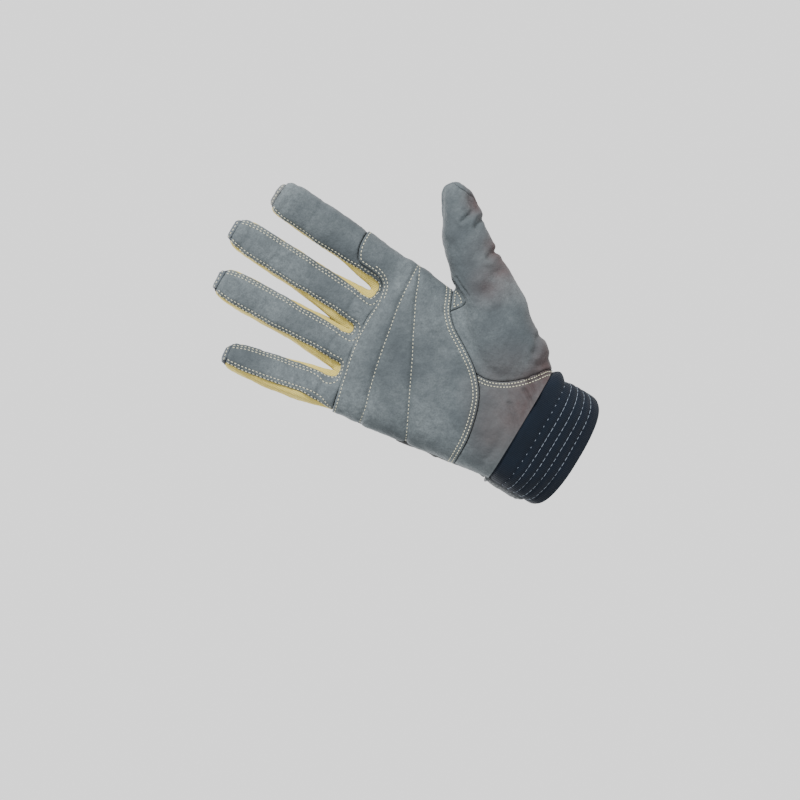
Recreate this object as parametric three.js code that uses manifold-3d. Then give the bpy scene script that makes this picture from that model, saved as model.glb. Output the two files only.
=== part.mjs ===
// A right-hand work glove for rescue work, in the form that it has on a hand: grey leather palm, fingers
// and thumb, yellow aramid sides between the fingers, a navy stretch back with grey leather over it, and
// a navy elastic cuff that a grey tab closes. Every wall is a shell, so a hand goes in at the cuff and on
// into the fingers and thumb.
//
// Millimetres. The glove stands with its fingers up: +Z runs from the wrist to the middle fingertip, the
// palm faces -Y and the thumb is at +X. The origin is the middle of the cuff's mouth.
//
// Everything is shaped in the hand's own frame, whose z is 0 at the seam of leather and cuff, and is
// moved at the end, so that the middle of the cuff's mouth comes to the origin.
import * as THREE from "three";
import { mergeVertices } from "three/addons/utils/BufferGeometryUtils.js";
import Module from "manifold-3d";

// Hand
const palmLength = 111; // wrist seam to the crotch beside the middle finger
const palmWidth = 96; // across the knuckles
const knuckleDepth = 28;
const wristWidth = 72;
const wristDepth = 43;
const handCentre = -1.8; // x of the middle of the palm
const palmCup = 4.5; // how far both edges of the palm turn towards its front
const knuckleSlant = 5.5; // how much lower the knuckles lie at the little finger's edge
const frontShare = 0.52; // share of the hand's depth that lies in front of its middle

// Walls and gaps
const leather = 2.0;
const fabric = 1.2;
const overlay = 1.5; // leather sewn on top of the fabric
const gap = 0.3;

// Cuff and what is on it
const cuffLength = 28.5; // along its middle
const cuffWall = 2.2;
const cuffBend = 31; // degrees that the cuff leans back at its mouth
const cuffSlack = 10; // how much longer its back is, which the bend bunches up
const ribDepth = 0.5;
const loopPatchWidth = 18.5;
const loopPatchThick = 1.2;
const loopPatchTop = -3.8; // how far below the wrist seam it starts
const tabWidth = 23.5;
const tabThick = 2.0;
const tabCorner = 6;

// Thumb
const thumbLength = 105.4; // from its root inside the palm to its tip
const thumbWidth = 32;
const thumbDepth = 28;
const thumbLean = 40.2; // degrees from the hand's axis
const thumbRootX = 28;
const thumbRootZ = 24;
const thumbForward = 9; // how far the thumb stands in front of the palm's middle

// Badge
const badgeWidth = 37;
const badgeHeight = 20;
const badgeThick = 1.6;
const badgeTurn = -5; // degrees

// Gathers on the back, over the elastic sewn in at the wrist
const gatherCount = 10;
const gatherRise = 1.3;

// The seams round a finger, across its depth from its middle: leather in front of the first and fabric
// behind the second.
const stripSeam = -5.2;
const backSeam = 3.2;
const tipWrap = 3.2; // how far the back's leather comes over the tip onto the front
// The side seam of the hand, where the palm leather meets the back.
const sideSeam = 0;

// One row for each finger. Where it starts is a share of palmWidth and palmLength, taper is how much
// narrower it is at its tip than at its root, as a share, and the rest is in mm and degrees.
const fingers = [
  {
    name: "index", x: 0.373, z: 1.0, length: 77.2, width: 23.4, depth: 20,
    lean: 2.8, roll: -7, curl: 4, strap: 15, taper: 0,
  },
  {
    name: "middle", x: 0.074, z: 1.0, length: 88.2, width: 22, depth: 20,
    lean: 1.7, roll: 5, curl: 5, strap: 12.5, taper: 0,
  },
  {
    name: "ring", x: -0.176, z: 0.99, length: 81.8, width: 22, depth: 19.5,
    lean: -1.9, roll: 8, curl: 6, strap: 11.5, taper: 0,
  },
  {
    name: "little", x: -0.437, z: 0.937, length: 63.2, width: 20.2, depth: 18,
    lean: -11, roll: 18, curl: 6, strap: 10, taper: 0.2,
  },
];
// Height of the crotch between one finger and the next, as a share of palmLength.
const crotches = [1.0, 1.0, 0.95];

// Sections of the hand: height as a share of palmLength, how far the width and the depth have gone from
// the wrist's to the knuckles', and how much the rounded end takes off.
const handSections = [
  { along: 0, wide: 0, thin: 0, round: 1 },
  { along: 0.18, wide: 0.2, thin: 0.2, round: 1 },
  { along: 0.36, wide: 0.43, thin: 0.46, round: 1 },
  { along: 0.56, wide: 0.72, thin: 0.62, round: 1 },
  { along: 0.765, wide: 0.96, thin: 0.82, round: 1 },
  { along: 0.88, wide: 1, thin: 0.97, round: 1 },
  { along: 0.937, wide: 1, thin: 1, round: 0.86 },
  { along: 0.964, wide: 0.94, thin: 1, round: 0.64 },
];

// Sections of a finger: place as a share of its length, and shares of its width and depth.
const fingerSections = [
  { along: -0.24, wide: 0.86, deep: 0.9 },
  { along: 0, wide: 0.93, deep: 1 },
  { along: 0.6, wide: 1.01, deep: 0.96 },
  { along: 0.87, wide: 0.97, deep: 0.86 },
  { along: 0.96, wide: 0.87, deep: 0.66 },
  { along: 1, wide: 0.64, deep: 0.36 },
];

// Sections of the thumb: place as a share of its length, shift to the side, width and depth as shares of
// its own, and how far forward as a share of thumbForward. The narrower rows are the creases at its
// joints.
const thumbSections = [
  { along: -0.13, side: 0.02, wide: 1.25, deep: 1.1, forward: 0.5 },
  { along: 0.0, side: 0.0, wide: 1.32, deep: 1.28, forward: 0.65 },
  { along: 0.15, side: -0.05, wide: 1.25, deep: 1.26, forward: 0.8 },
  { along: 0.31, side: 0.0, wide: 1.15, deep: 1.12, forward: 0.95 },
  { along: 0.42, side: -0.01, wide: 1.02, deep: 1.0, forward: 1.0 },
  { along: 0.48, side: -0.07, wide: 1.0, deep: 0.96, forward: 1.0 },
  { along: 0.53, side: -0.09, wide: 0.93, deep: 0.92, forward: 1.02 },
  { along: 0.68, side: -0.08, wide: 0.83, deep: 0.83, forward: 1.1 },
  { along: 0.745, side: -0.1, wide: 0.71, deep: 0.75, forward: 1.12 },
  { along: 0.81, side: -0.05, wide: 0.66, deep: 0.73, forward: 1.15 },
  { along: 0.89, side: -0.01, wide: 0.59, deep: 0.66, forward: 1.2 },
  { along: 0.95, side: 0.0, wide: 0.49, deep: 0.54, forward: 1.22 },
  { along: 1.0, side: 0.0, wide: 0.24, deep: 0.26, forward: 1.25 },
];

// Seams seen from the front and from the back, as shares of palmWidth and palmLength.
const heelSeam = [
  [-0.6, 0.189], [-0.427, 0.189], [-0.208, 0.203], [-0.104, 0.225], [0, 0.261], [0.104, 0.333],
  [0.208, 0.459], [0.281, 0.559], [0.344, 0.608], [0.427, 0.64], [0.49, 0.671], [0.521, 0.707],
];
const thumbSeam = [
  [0.104, 0.333], [0.107, 0.27], [0.125, 0.225], [0.156, 0.176], [0.208, 0.122], [0.281, 0.068],
  [0.344, 0.027], [0.385, -0.04],
];
const gussetSeam = [
  [0.344, 0.608], [0.38, 0.584], [0.422, 0.569], [0.453, 0.592], [0.475, 0.63], [0.49, 0.671],
];
const fingerBaseSeam = [
  [-0.6, 0.852], [-0.51, 0.869], [-0.312, 0.913], [-0.104, 0.95], [0, 0.96], [0.208, 0.962], [0.271, 0.982],
  [0.302, 1.027], [0.31, 1.09], [0.318, 1.144], [0.354, 1.164], [0.56, 1.185],
];
const backPanelEdge = [
  [-0.6, 0.44], [-0.526, 0.486], [-0.453, 0.518], [-0.349, 0.559], [-0.245, 0.595], [-0.141, 0.626],
  [-0.036, 0.644], [0.12, 0.671], [0.193, 0.689], [0.245, 0.721], [0.28, 0.775], [0.305, 0.86],
  [0.309, 0.94],
];
const backPanelSide = [
  [0.312, -0.04], [0.307, 0.0], [0.297, 0.09], [0.297, 0.18], [0.328, 0.27], [0.359, 0.36], [0.391, 0.45],
  [0.404, 0.54], [0.416, 0.649], [0.432, 0.75], [0.446, 0.84], [0.453, 0.93],
];
const knucklePanelEdge = [
  [-0.6, 0.545], [-0.521, 0.568], [-0.349, 0.622], [-0.141, 0.68], [-0.036, 0.707], [0.068, 0.725],
  [0.1, 0.748], [0.122, 0.784], [0.125, 0.86], [0.13, 0.95],
];
const thumbBackSeam = [
  [0.355, -0.04], [0.375, 0.05], [0.396, 0.18], [0.427, 0.297], [0.453, 0.405], [0.479, 0.541], [0.5, 0.649],
  [0.521, 0.707],
];

const wasm = await Module();
wasm.setup();
const closeness = 0.09; // cuts that come this close to an edge or a corner use it

const radians = THREE.MathUtils.degToRad;
const far = 2 * (palmLength + thumbLength); // well outside the glove on any side

// A closed three.js geometry as a solid that can be joined and cut.
function solidOf(geometry) {
  const bare = new THREE.BufferGeometry();
  bare.setAttribute("position", geometry.getAttribute("position"));
  bare.setIndex(geometry.index);
  const merged = mergeVertices(bare, 1e-4);
  const vertProperties = merged.attributes.position.array;
  const triVerts = new Uint32Array(merged.index.array);
  return new wasm.Manifold(new wasm.Mesh({ numProp: 3, vertProperties, triVerts })).setTolerance(closeness);
}

// The largest body of a solid, without the crumbs that a cut can leave.
function main(solid) {
  return solid.decompose().reduce((best, next) => (next.volume() > best.volume() ? next : best));
}

const union = (solids) => solids.reduce((all, next) => all.add(next));

// A solid through rings of points, each ring turning from +x to +y when seen from its far end.
function loft(rings) {
  const count = rings[0].length;
  const points = rings.flat(2);
  const faces = [];
  for (let i = 0; i + 1 < rings.length; i += 1) {
    for (let j = 0; j < count; j += 1) {
      const k = (j + 1) % count;
      const [a, b, c, d] = [i * count + j, i * count + k, (i + 1) * count + k, (i + 1) * count + j];
      faces.push(a, b, c, a, c, d);
    }
  }
  [0, rings.length - 1].forEach((end, side) => {
    const middle = points.length / 3;
    for (let axis = 0; axis < 3; axis += 1) {
      points.push(rings[end].reduce((sum, point) => sum + point[axis], 0) / count);
    }
    for (let j = 0; j < count; j += 1) {
      const [a, b] = [end * count + j, end * count + ((j + 1) % count)];
      faces.push(...(side ? [a, b, middle] : [b, a, middle]));
    }
  });
  const geometry = new THREE.BufferGeometry();
  geometry.setAttribute("position", new THREE.Float32BufferAttribute(points, 3));
  geometry.setIndex(faces);
  return solidOf(geometry);
}

// One point of a rounded section at a turn, with its own reach to the front and to the back.
function roundedPoint(turn, halfWidth, front, back, squareness) {
  const [c, s] = [Math.cos(turn), Math.sin(turn)];
  const power = 2 / squareness;
  return [
    Math.sign(c) * halfWidth * Math.abs(c) ** power,
    Math.sign(s) * (s < 0 ? front : back) * Math.abs(s) ** power,
  ];
}

const turns = (count) => Array.from({ length: count }, (unused, i) => (i / count) * 2 * Math.PI);

// A table read between its rows.
function readTable(rows, at) {
  const above = rows.findIndex((row) => row.along > at);
  const i = above < 0 ? rows.length - 2 : Math.max(0, above - 1);
  const [a, b] = [rows[i], rows[i + 1]];
  const t = (at - a.along) / (b.along - a.along);
  return Object.fromEntries(Object.keys(a).map((key) => [key, a[key] + (b[key] - a[key]) * t]));
}

// A smooth plan outline through shares of the palm's width and length.
function seam(shares) {
  const knots = shares.map(([u, v]) => new THREE.Vector2(u * palmWidth, v * palmLength));
  return new THREE.SplineCurve(knots).getPoints((shares.length - 1) * seamSteps).map((p) => [p.x, p.y]);
}

// Places on heelSeam at which other seams meet it, counted in points of the smoothed seam.
const seamSteps = 2;
const thumbJoin = 5 * seamSteps;
const gussetJoin = 8 * seamSteps;
const gussetEnd = 10 * seamSteps;

// The plan outline moved sideways, to the left of its own direction.
function beside(line, distance) {
  return line.map((point, i) => {
    const [before, after] = [line[Math.max(0, i - 1)], line[Math.min(line.length - 1, i + 1)]];
    const [dx, dz] = [after[0] - before[0], after[1] - before[1]];
    const size = Math.hypot(dx, dz);
    return [point[0] - (dz / size) * distance, point[1] + (dx / size) * distance];
  });
}

// A cutter with a plan outline, from one depth to another.
function prism(outline, yFrom, yTo) {
  const shape = new THREE.Shape(outline.map(([x, z]) => new THREE.Vector2(x, z)));
  const geometry = new THREE.ExtrudeGeometry(shape, { depth: yTo - yFrom, bevelEnabled: false });
  geometry.rotateX(Math.PI / 2);
  geometry.translate(0, yTo, 0);
  return solidOf(geometry);
}

// How far the palm's cupping moves a place at x to the front.
function cupAt(x, along) {
  const share = (x - handCentre) / (palmWidth / 2);
  return palmCup * Math.min(1, Math.max(0, along)) * share * share;
}

// The hand's half width and its reach to the front and back at a height, all grown by an offset.
function handSection(along, offset) {
  const row = readTable(handSections, along);
  const halfWidth = (wristWidth + (palmWidth - wristWidth) * row.wide) / 2;
  const depth = (wristDepth + (knuckleDepth - wristDepth) * row.thin) * row.round;
  return {
    halfWidth: halfWidth + offset,
    front: depth * frontShare + offset,
    back: depth * (1 - frontShare) + offset,
  };
}

const handSquareness = 2.6;
const handTurns = 24;

function handPoint(turn, along, offset) {
  const { halfWidth, front, back } = handSection(along, offset);
  const [x, y] = roundedPoint(turn, halfWidth, front, back, handSquareness);
  const low = Math.max(0, -x / (palmWidth / 2));
  const z = along * palmLength - knuckleSlant * low * Math.max(0, along) ** 2;
  return [handCentre + x, y - cupAt(handCentre + x, along), z];
}

// The hand between the wrist seam and the knuckles, grown by an offset. A hollow starts below the seam.
function handForm(offset, from = 0) {
  const rows = handSections.map((row) => row.along);
  const rings = rows.map((along, i) => {
    const lift = i === rows.length - 1 ? offset : 0;
    return turns(handTurns).map((turn) => {
      const [x, y, z] = handPoint(turn, along, offset);
      return [x, y, z + lift];
    });
  });
  if (from < 0) {
    rings.unshift(turns(handTurns).map((turn) => {
      const [x, y] = handPoint(turn, 0, offset);
      return [x, y, from];
    }));
  }
  return loft(rings);
}

// The middle of a finger and its three directions at a distance from its base.
function fingerFrame(finger, distance) {
  const [lean, roll] = [radians(finger.lean), radians(finger.roll)];
  const share = Math.max(0, distance / finger.length);
  const [x, z] = [finger.x * palmWidth, finger.z * palmLength];
  const middle = [
    x + Math.sin(lean) * distance,
    -cupAt(x, 1) - finger.curl * share * share,
    z + Math.cos(lean) * distance,
  ];
  const across = [Math.cos(lean) * Math.cos(roll), Math.sin(roll), -Math.sin(lean) * Math.cos(roll)];
  const back = [-Math.cos(lean) * Math.sin(roll), Math.cos(roll), Math.sin(lean) * Math.sin(roll)];
  return { middle, across, back };
}

function fromFrame({ middle, across, back }, x, y) {
  return middle.map((m, axis) => m + across[axis] * x + back[axis] * y);
}

// How much of an offset moves a section lengthwise: none along a finger, all of it at the tip.
const endShare = (along) => Math.max(0, (along - 0.8) / 0.2);

const fingerSquareness = 2.7;
const fingerTurns = 12;

function fingerForm(finger, offset) {
  const rings = fingerSections.map((row) => {
    const frame = fingerFrame(finger, row.along * finger.length + offset * endShare(row.along));
    const taper = 1 + finger.taper * (0.5 - Math.max(0, row.along));
    const halfWidth = (finger.width / 2) * row.wide * taper + offset;
    const halfDepth = (finger.depth / 2) * row.deep + offset;
    return turns(fingerTurns).map((turn) => {
      const [x, y] = roundedPoint(turn, halfWidth, halfDepth, halfDepth, fingerSquareness);
      return fromFrame(frame, x, y);
    });
  });
  return loft(rings);
}

// A cutter that follows a finger: a box across its width and depth, between two distances from its base.
function fingerBlock(finger, xFrom, xTo, yFrom, yTo, from, to) {
  const steps = 2;
  const rings = Array.from({ length: steps + 1 }, (unused, i) => {
    const frame = fingerFrame(finger, from + ((to - from) * i) / steps);
    return [[xTo, yFrom], [xTo, yTo], [xFrom, yTo], [xFrom, yFrom]].map(([x, y]) => fromFrame(frame, x, y));
  });
  return loft(rings);
}

// The web of the glove between two fingers, up to their crotch.
function webForm(index, offset) {
  const [near, next] = [fingers[index], fingers[index + 1]];
  const top = crotches[index] * palmLength + offset;
  const bottom = top - 0.16 * palmLength;
  const [left, right] = [next.x * palmWidth, near.x * palmWidth];
  const y = -cupAt((left + right) / 2, 1);
  const reach = 0.36 * near.depth + offset;
  const ring = (z, shrink) => [
    [right, y - reach + shrink, z],
    [right, y + reach - shrink, z],
    [left, y + reach - shrink, z],
    [left, y - reach + shrink, z],
  ];
  return loft([ring(bottom, 0), ring(top - 2, 0), ring(top, 1.5)]);
}

const thumbDirection = [Math.sin(radians(thumbLean)), 0, Math.cos(radians(thumbLean))];
const thumbAcross = [Math.cos(radians(thumbLean)), 0, -Math.sin(radians(thumbLean))];
const thumbSquareness = 2.2;
const thumbTurns = 14;

function thumbFrame(distance, side, forward) {
  return {
    middle: [
      thumbRootX + thumbDirection[0] * distance + thumbAcross[0] * side,
      -forward,
      thumbRootZ + thumbDirection[2] * distance + thumbAcross[2] * side,
    ],
    across: thumbAcross,
    back: [0, 1, 0],
  };
}

function thumbForm(offset) {
  const rings = thumbSections.map((row) => {
    const distance = row.along * thumbLength + offset * endShare(row.along);
    const frame = thumbFrame(distance, row.side * thumbWidth, row.forward * thumbForward);
    const halfWidth = (thumbWidth / 2) * row.wide + offset;
    const halfDepth = (thumbDepth / 2) * row.deep + offset;
    return turns(thumbTurns).map((turn) => {
      const [x, y] = roundedPoint(turn, halfWidth, halfDepth, halfDepth, thumbSquareness);
      return fromFrame(frame, x, y);
    });
  });
  return loft(rings);
}

// The whole glove's form above the wrist seam, grown by an offset from the leather's outer face.
function gloveForm(offset, from = 0) {
  const parts = [handForm(offset, from), thumbForm(offset)];
  fingers.forEach((finger) => parts.push(fingerForm(finger, offset)));
  crotches.forEach((unused, i) => parts.push(webForm(i, offset)));
  const aboveSeam = prism([[-far, from], [far, from], [far, far], [-far, far]], -far, far);
  return union(parts).intersect(aboveSeam);
}

// The layers, each between two skins: the hollow, the fabric's face, the leather's face, and leather on
// the fabric.
const hollow = gloveForm(-leather, -4);
const leatherLayer = gloveForm(0).subtract(hollow);
const fabricLayer = gloveForm(fabric - leather).subtract(hollow);
const overlayInner = fabric - leather + gap;
const overlayOuter = overlayInner + overlay;
const overlaySkin = gloveForm(overlayOuter);
const overlayLayer = overlaySkin.subtract(gloveForm(overlayInner, -4));

// Regions of the front and the back, as cutters. Half a gap is left on each side of every seam.
const half = gap / 2;
const edgeX = 0.62 * palmWidth;
const crotch = heelSeam[heelSeam.length - 1];
const [crotchX, crotchZ] = [crotch[0] * palmWidth, crotch[1] * palmLength];
const heelLine = seam(heelSeam);
const baseLine = seam(fingerBaseSeam);
const reverse = (line) => [...line].reverse();

function palmRegion() {
  const outline = [
    ...beside(heelLine, half),
    [crotchX + 1, crotchZ + 8],
    [edgeX, crotchZ + 20],
    [edgeX, baseLine.at(-1)[1] - 1],
  ];
  const region = prism([...outline, ...reverse(beside(baseLine, -half))], -far, sideSeam - half);
  return region.subtract(sides).subtract(fingerBack(0, half));
}

function heelRegion() {
  const outline = [
    ...beside(heelLine, -half).slice(0, thumbJoin),
    ...beside(seam(thumbSeam), -half).slice(1),
    [-edgeX, -far],
  ];
  return prism(outline, -far, sideSeam - half);
}

function gussetRegion() {
  const upper = beside(heelLine, -half).slice(gussetJoin + 1, gussetEnd);
  const lower = beside(seam(gussetSeam), half).slice(1, -1);
  return prism([...lower, ...reverse(upper)], -far, sideSeam - half);
}

function thumbRegion(start, yFrom, yTo) {
  const outline = [...start, [crotchX + 2, crotchZ + 6], [crotchX + 2, far], [far, far], [far, -far]];
  return prism(outline, yFrom, yTo);
}

function thumbFrontOutline() {
  return [
    ...reverse(beside(seam(thumbSeam), half)).slice(0, -1),
    ...beside(heelLine, -half).slice(thumbJoin + 1, gussetJoin),
    ...beside(seam(gussetSeam), -half).slice(1, -1),
    ...beside(heelLine, -half).slice(gussetEnd + 1),
  ];
}

const thumbBackLine = seam(thumbBackSeam);
const thumbFrontArea = thumbRegion(thumbFrontOutline(), -far, sideSeam);
const thumbBackArea = thumbRegion(beside(thumbBackLine, -half), sideSeam - half, far);

// The seam that runs up the thumb's side and over its tip splits its leather into a front and a back.
function thumbHalf(front) {
  const edge = front ? -half : half;
  const steps = [[-0.6, 0.25], [0.3, 0.2], [0.7, 0.05], [0.9, -0.1], [1.2, -0.12]];
  const rings = steps.map(([along, depth]) => {
    const frame = thumbFrame(along * thumbLength, 0, thumbForward);
    const split = depth * thumbDepth + edge;
    const [near, away] = front ? [-far, split] : [split, far];
    return [[far, near], [far, away], [-far, away], [-far, near]].map(([x, y]) => fromFrame(frame, x, y));
  });
  return loft(rings);
}

const thumbLeather = leatherLayer.intersect(thumbFrontArea.add(thumbBackArea));

// Each finger has a lane of its own in plan, up to the lines midway between the fingers.
const [indexFinger, middleFinger, ringFinger, littleFinger] = fingers;
const fingerRoot = -0.14 * palmLength;
const wide = 0.75 * palmWidth;

function plan(xFrom, xTo, zFrom, zTo, yFrom, yTo) {
  return prism([[xFrom, zFrom], [xTo, zFrom], [xTo, zTo], [xFrom, zTo]], yFrom, yTo);
}

function midway(index, z) {
  const at = (finger) => finger.x * palmWidth + Math.tan(radians(finger.lean)) * (z - finger.z * palmLength);
  return (at(fingers[index]) + at(fingers[index + 1])) / 2;
}

function lane(index, grow = 0) {
  const [low, high] = [0.6 * palmLength, 2 * palmLength];
  const right = index === 0 ? [wide, wide] : [midway(index - 1, low), midway(index - 1, high)];
  const left = index === fingers.length - 1 ? [-wide, -wide] : [midway(index, low), midway(index, high)];
  const outline = [
    [left[0] - grow, low], [right[0] + grow, low], [right[1] + grow, high], [left[1] - grow, high],
  ];
  return prism(outline, -far, far);
}

// The depth between the two seams on one side of a finger, where the fabric shows.
function sideBlock(index, side, from, grow) {
  const finger = fingers[index];
  const [xFrom, xTo] = side > 0 ? [-grow, finger.width] : [-finger.width, grow];
  const end = finger.length - tipWrap - gap / 3;
  return fingerBlock(finger, xFrom, xTo, stripSeam - grow, backSeam + grow, from - grow, end + grow)
    .intersect(lane(index, Math.max(0, grow)));
}

function fourchetteArea(index, grow) {
  const [near, next] = [fingers[index], fingers[index + 1]];
  const y = -cupAt(midway(index, palmLength), 1);
  const top = crotches[index] * palmLength;
  const [xFrom, xTo] = [next.x * palmWidth, near.x * palmWidth];
  const web = plan(xFrom, xTo, top - 6 - grow, top + 4, y + stripSeam - grow, y + backSeam + grow);
  const above = plan(-far, far, top - 6 - grow, far, -far, far);
  return union([sideBlock(index, -1, -8, grow), sideBlock(index + 1, 1, -8, grow), web]).intersect(above);
}

const fourchettes = crotches.map((unused, index) => fabricLayer.intersect(fourchetteArea(index, -half)));
const littleSide = sideBlock(fingers.length - 1, -1, fingerRoot, -half).intersect(aboveBase(far));
const clearance = 0.45 * gap; // a little less than half, so that no two cuts share a plane
const littleSideGrown = sideBlock(fingers.length - 1, -1, fingerRoot, clearance);
const sides = union([...crotches.map((unused, index) => fourchetteArea(index, clearance)), littleSideGrown]);

function aboveBase(side) {
  const outline = [...beside(baseLine, half), [far, baseLine.at(-1)[1]], [far, far], [-far, far]];
  return prism(outline, -far, side);
}

// The fronts of the fingers, up to where the back's leather comes over the tips.
function strip(index, depth) {
  const finger = fingers[index];
  const block = fingerBlock(finger, -wide, wide, -wide, depth, fingerRoot, finger.length - tipWrap - half);
  return block.intersect(lane(index));
}

const besideMiddle = midway(0, palmLength);

function fingerPanel() {
  const base = plan(-far, besideMiddle - half, 0, palmLength + 3, -far, -half);
  const strips = [1, 2, 3].map((index) => strip(index, 0));
  const region = union([base, ...strips]).intersect(plan(-far, besideMiddle - half, 0, far, -far, far));
  const panel = leatherLayer.intersect(region).intersect(aboveBase(far));
  return main(panel.subtract(sides).subtract(fingerBack(3, half)));
}

function indexFront() {
  const region = strip(0, backSeam - half).intersect(plan(besideMiddle + half, far, 0, far, -far, far));
  return leatherLayer.intersect(region).intersect(aboveBase(far)).subtract(sides);
}

// The back: navy fabric over the knuckles, the finger backs and the side towards the thumb.
const panelEdge = seam(backPanelEdge);
const panelSide = seam(backPanelSide);

function backPanelOutline(inset) {
  return [...beside(panelSide, inset), ...reverse(beside(panelEdge, -inset)), [-edgeX, -far]];
}

function fingerBack(index, grow) {
  const finger = fingers[index];
  const beyond = finger.length + 8;
  const back = fingerBlock(finger, -wide, wide, backSeam - grow, wide, -4 - grow, beyond);
  const cap = fingerBlock(finger, -wide, wide, -wide, wide, finger.length - tipWrap - grow, beyond);
  return back.add(cap).intersect(lane(index));
}

function backFabric() {
  const thumbSide = reverse(beside(thumbBackLine, half));
  const outline = [...thumbSide, [-edgeX, -far], [-edgeX, far], [crotchX + 2, far]];
  const area = prism(outline, sideSeam + half, far).intersect(plan(-far, far, -far, palmLength, -far, far));
  const uncovered = area.subtract(prism(backPanelOutline(-half), sideSeam - 1, far));
  const backs = fingers.map((unused, index) => fingerBack(index, -half));
  return fabricLayer.intersect(union([uncovered, ...backs])).subtract(sides).subtract(thumbBackArea);
}

// A strap along the back of a finger and over its tip.
function strap(finger, from) {
  const reach = finger.strap / 2;
  const back = fingerBlock(finger, -reach, reach, backSeam + 1, wide, from, finger.length + 8);
  const cap = fingerBlock(
    finger, -reach, reach, -wide, wide, finger.length - tipWrap + gap + half, finger.length + 8,
  );
  return overlayLayer.intersect(back.add(cap));
}

// The back's surface as a depth at a place, for what lies on it.
function backDepth(x, z, offset) {
  const along = z / palmLength;
  const { halfWidth, back } = handSection(along, offset);
  const share = Math.min(0.999, Math.abs(x - handCentre) / halfWidth);
  return back * (1 - share ** handSquareness) ** (1 / handSquareness) - cupAt(x, along);
}

// A patch that follows the back: a grid over a plan area, between two faces given as functions.
function backPatch(xs, zs, lower, upper) {
  const grid = (face) => zs.map((z) => xs.map((x) => [x, face(x, z), z]));
  const [bottom, top] = [grid(lower), grid(upper)];
  const rings = xs.map((unused, i) => [
    ...top.map((row) => row[i]),
    ...reverse(bottom.map((row) => row[i])),
  ]);
  return loft(rings);
}

function steps(from, to, count) {
  return Array.from({ length: count + 1 }, (unused, i) => from + ((to - from) * i) / count);
}

// The gathers: two rows of puffs over the elastic and, below them, pleats that run down to the cuff.
const gatherLeft = -0.33 * palmWidth;
const gatherRight = 0.193 * palmWidth;
const gatherTop = 0.275 * palmLength;
const gatherMiddle = 0.215 * palmLength;
const gatherFoot = 0.155 * palmLength;
const pleatFoot = 0.03 * palmLength;

function gatherHeight(x, z) {
  const phase = ((x - gatherLeft) / (gatherRight - gatherLeft)) * gatherCount;
  const ridge = (shift) => Math.abs(Math.sin(Math.PI * (phase + shift)));
  const fade = Math.min(1, Math.max(0, Math.min(phase, gatherCount - phase)));
  const hump = (low, high) => Math.sin(Math.PI * Math.min(1, Math.max(0, (z - low) / (high - low))));
  if (z >= gatherMiddle) return gatherRise * fade * ridge(0) * hump(gatherMiddle, gatherTop);
  if (z >= gatherFoot) return gatherRise * fade * ridge(0.5) * hump(gatherFoot, gatherMiddle);
  return 0.8 * gatherRise * fade * ridge(0.5) * hump(pleatFoot - 2, gatherFoot);
}

function gathers() {
  const xs = steps(gatherLeft, gatherRight, gatherCount * 2);
  const zs = [
    pleatFoot, (2 * pleatFoot + gatherFoot) / 3, (pleatFoot + 2 * gatherFoot) / 3, gatherFoot,
    (gatherFoot + gatherMiddle) / 2, gatherMiddle, (gatherMiddle + gatherTop) / 2, gatherTop,
  ];
  const face = (x, z) => backDepth(x, z, overlayOuter);
  const puffed = (x, z) => face(x, z) - 0.1 + gatherHeight(x, z);
  return backPatch(xs, zs, (x, z) => face(x, z) - overlay / 2, puffed);
}

function backPanel() {
  const below = plan(-far, far, -far, backPanelSide.at(-1)[1] * palmLength - gap, -far, far);
  const region = prism(backPanelOutline(half), sideSeam + half, far).intersect(below);
  const panel = overlaySkin.subtract(hollow).intersect(region).subtract(thumbBackArea);
  return panel.add(strap(indexFinger, -0.14 * palmLength)).add(gathers());
}

function knucklePanel() {
  const edge = seam(knucklePanelEdge);
  const [notchRing, notchLittle] = [0.82 * palmLength, 0.775 * palmLength];
  const above = prism([...edge, [-edgeX, edge.at(-1)[1]]], sideSeam + 1, far);
  const body = above.intersect(plan(-far, far, 0, notchRing, -far, far));
  const besideRing = ringFinger.x * palmWidth - ringFinger.strap / 2;
  const littleStep = plan(-far, besideRing, notchLittle, far, -far, far);
  const straps = [middleFinger, ringFinger, littleFinger].map((f) => strap(f, -0.27 * palmLength));
  return union([overlayLayer.intersect(body).subtract(littleStep), ...straps]);
}

// The badge, a plate with cut corners laid on the back.
function badge() {
  const [middleX, middleZ] = [-0.078 * palmWidth, 0.428 * palmLength];
  const [w, h] = [badgeWidth / 2, badgeHeight / 2];
  const corners = [
    [-w, 0.2 * h], [-w, -0.3 * h], [-0.86 * w, -h], [0.86 * w, -h], [w, -0.3 * h], [w, 0.2 * h],
    [0.86 * w, h], [-0.86 * w, h],
  ];
  const [c, s] = [Math.cos(radians(badgeTurn)), Math.sin(radians(badgeTurn))];
  const outline = corners.map(([x, z]) => [middleX + x * c - z * s, middleZ + x * s + z * c]);
  const inner = handForm(overlayOuter + gap, -4);
  const outer = handForm(overlayOuter + gap + badgeThick, -4);
  return outer.subtract(inner).intersect(prism(outline, sideSeam, far));
}

// The cuff: heights below the wrist seam, with a shallow groove at each line of elastic.
const cuffTurns = 20;
const elasticLines = [0.28, 0.41, 0.54, 0.68, 0.82];

// The cuff leans back evenly from the wrist seam down to its mouth.
const bendRadius = cuffLength / radians(cuffBend);
const mouthZ = -bendRadius * Math.sin(radians(cuffBend));
const mouthY = bendRadius * (1 - Math.cos(radians(cuffBend)));

function bent([x, y, z]) {
  if (z >= 0) return [x, y, z];
  const turn = -z / bendRadius;
  const behind = bendRadius - y;
  return [x, bendRadius - behind * Math.cos(turn), -behind * Math.sin(turn)];
}

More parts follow.
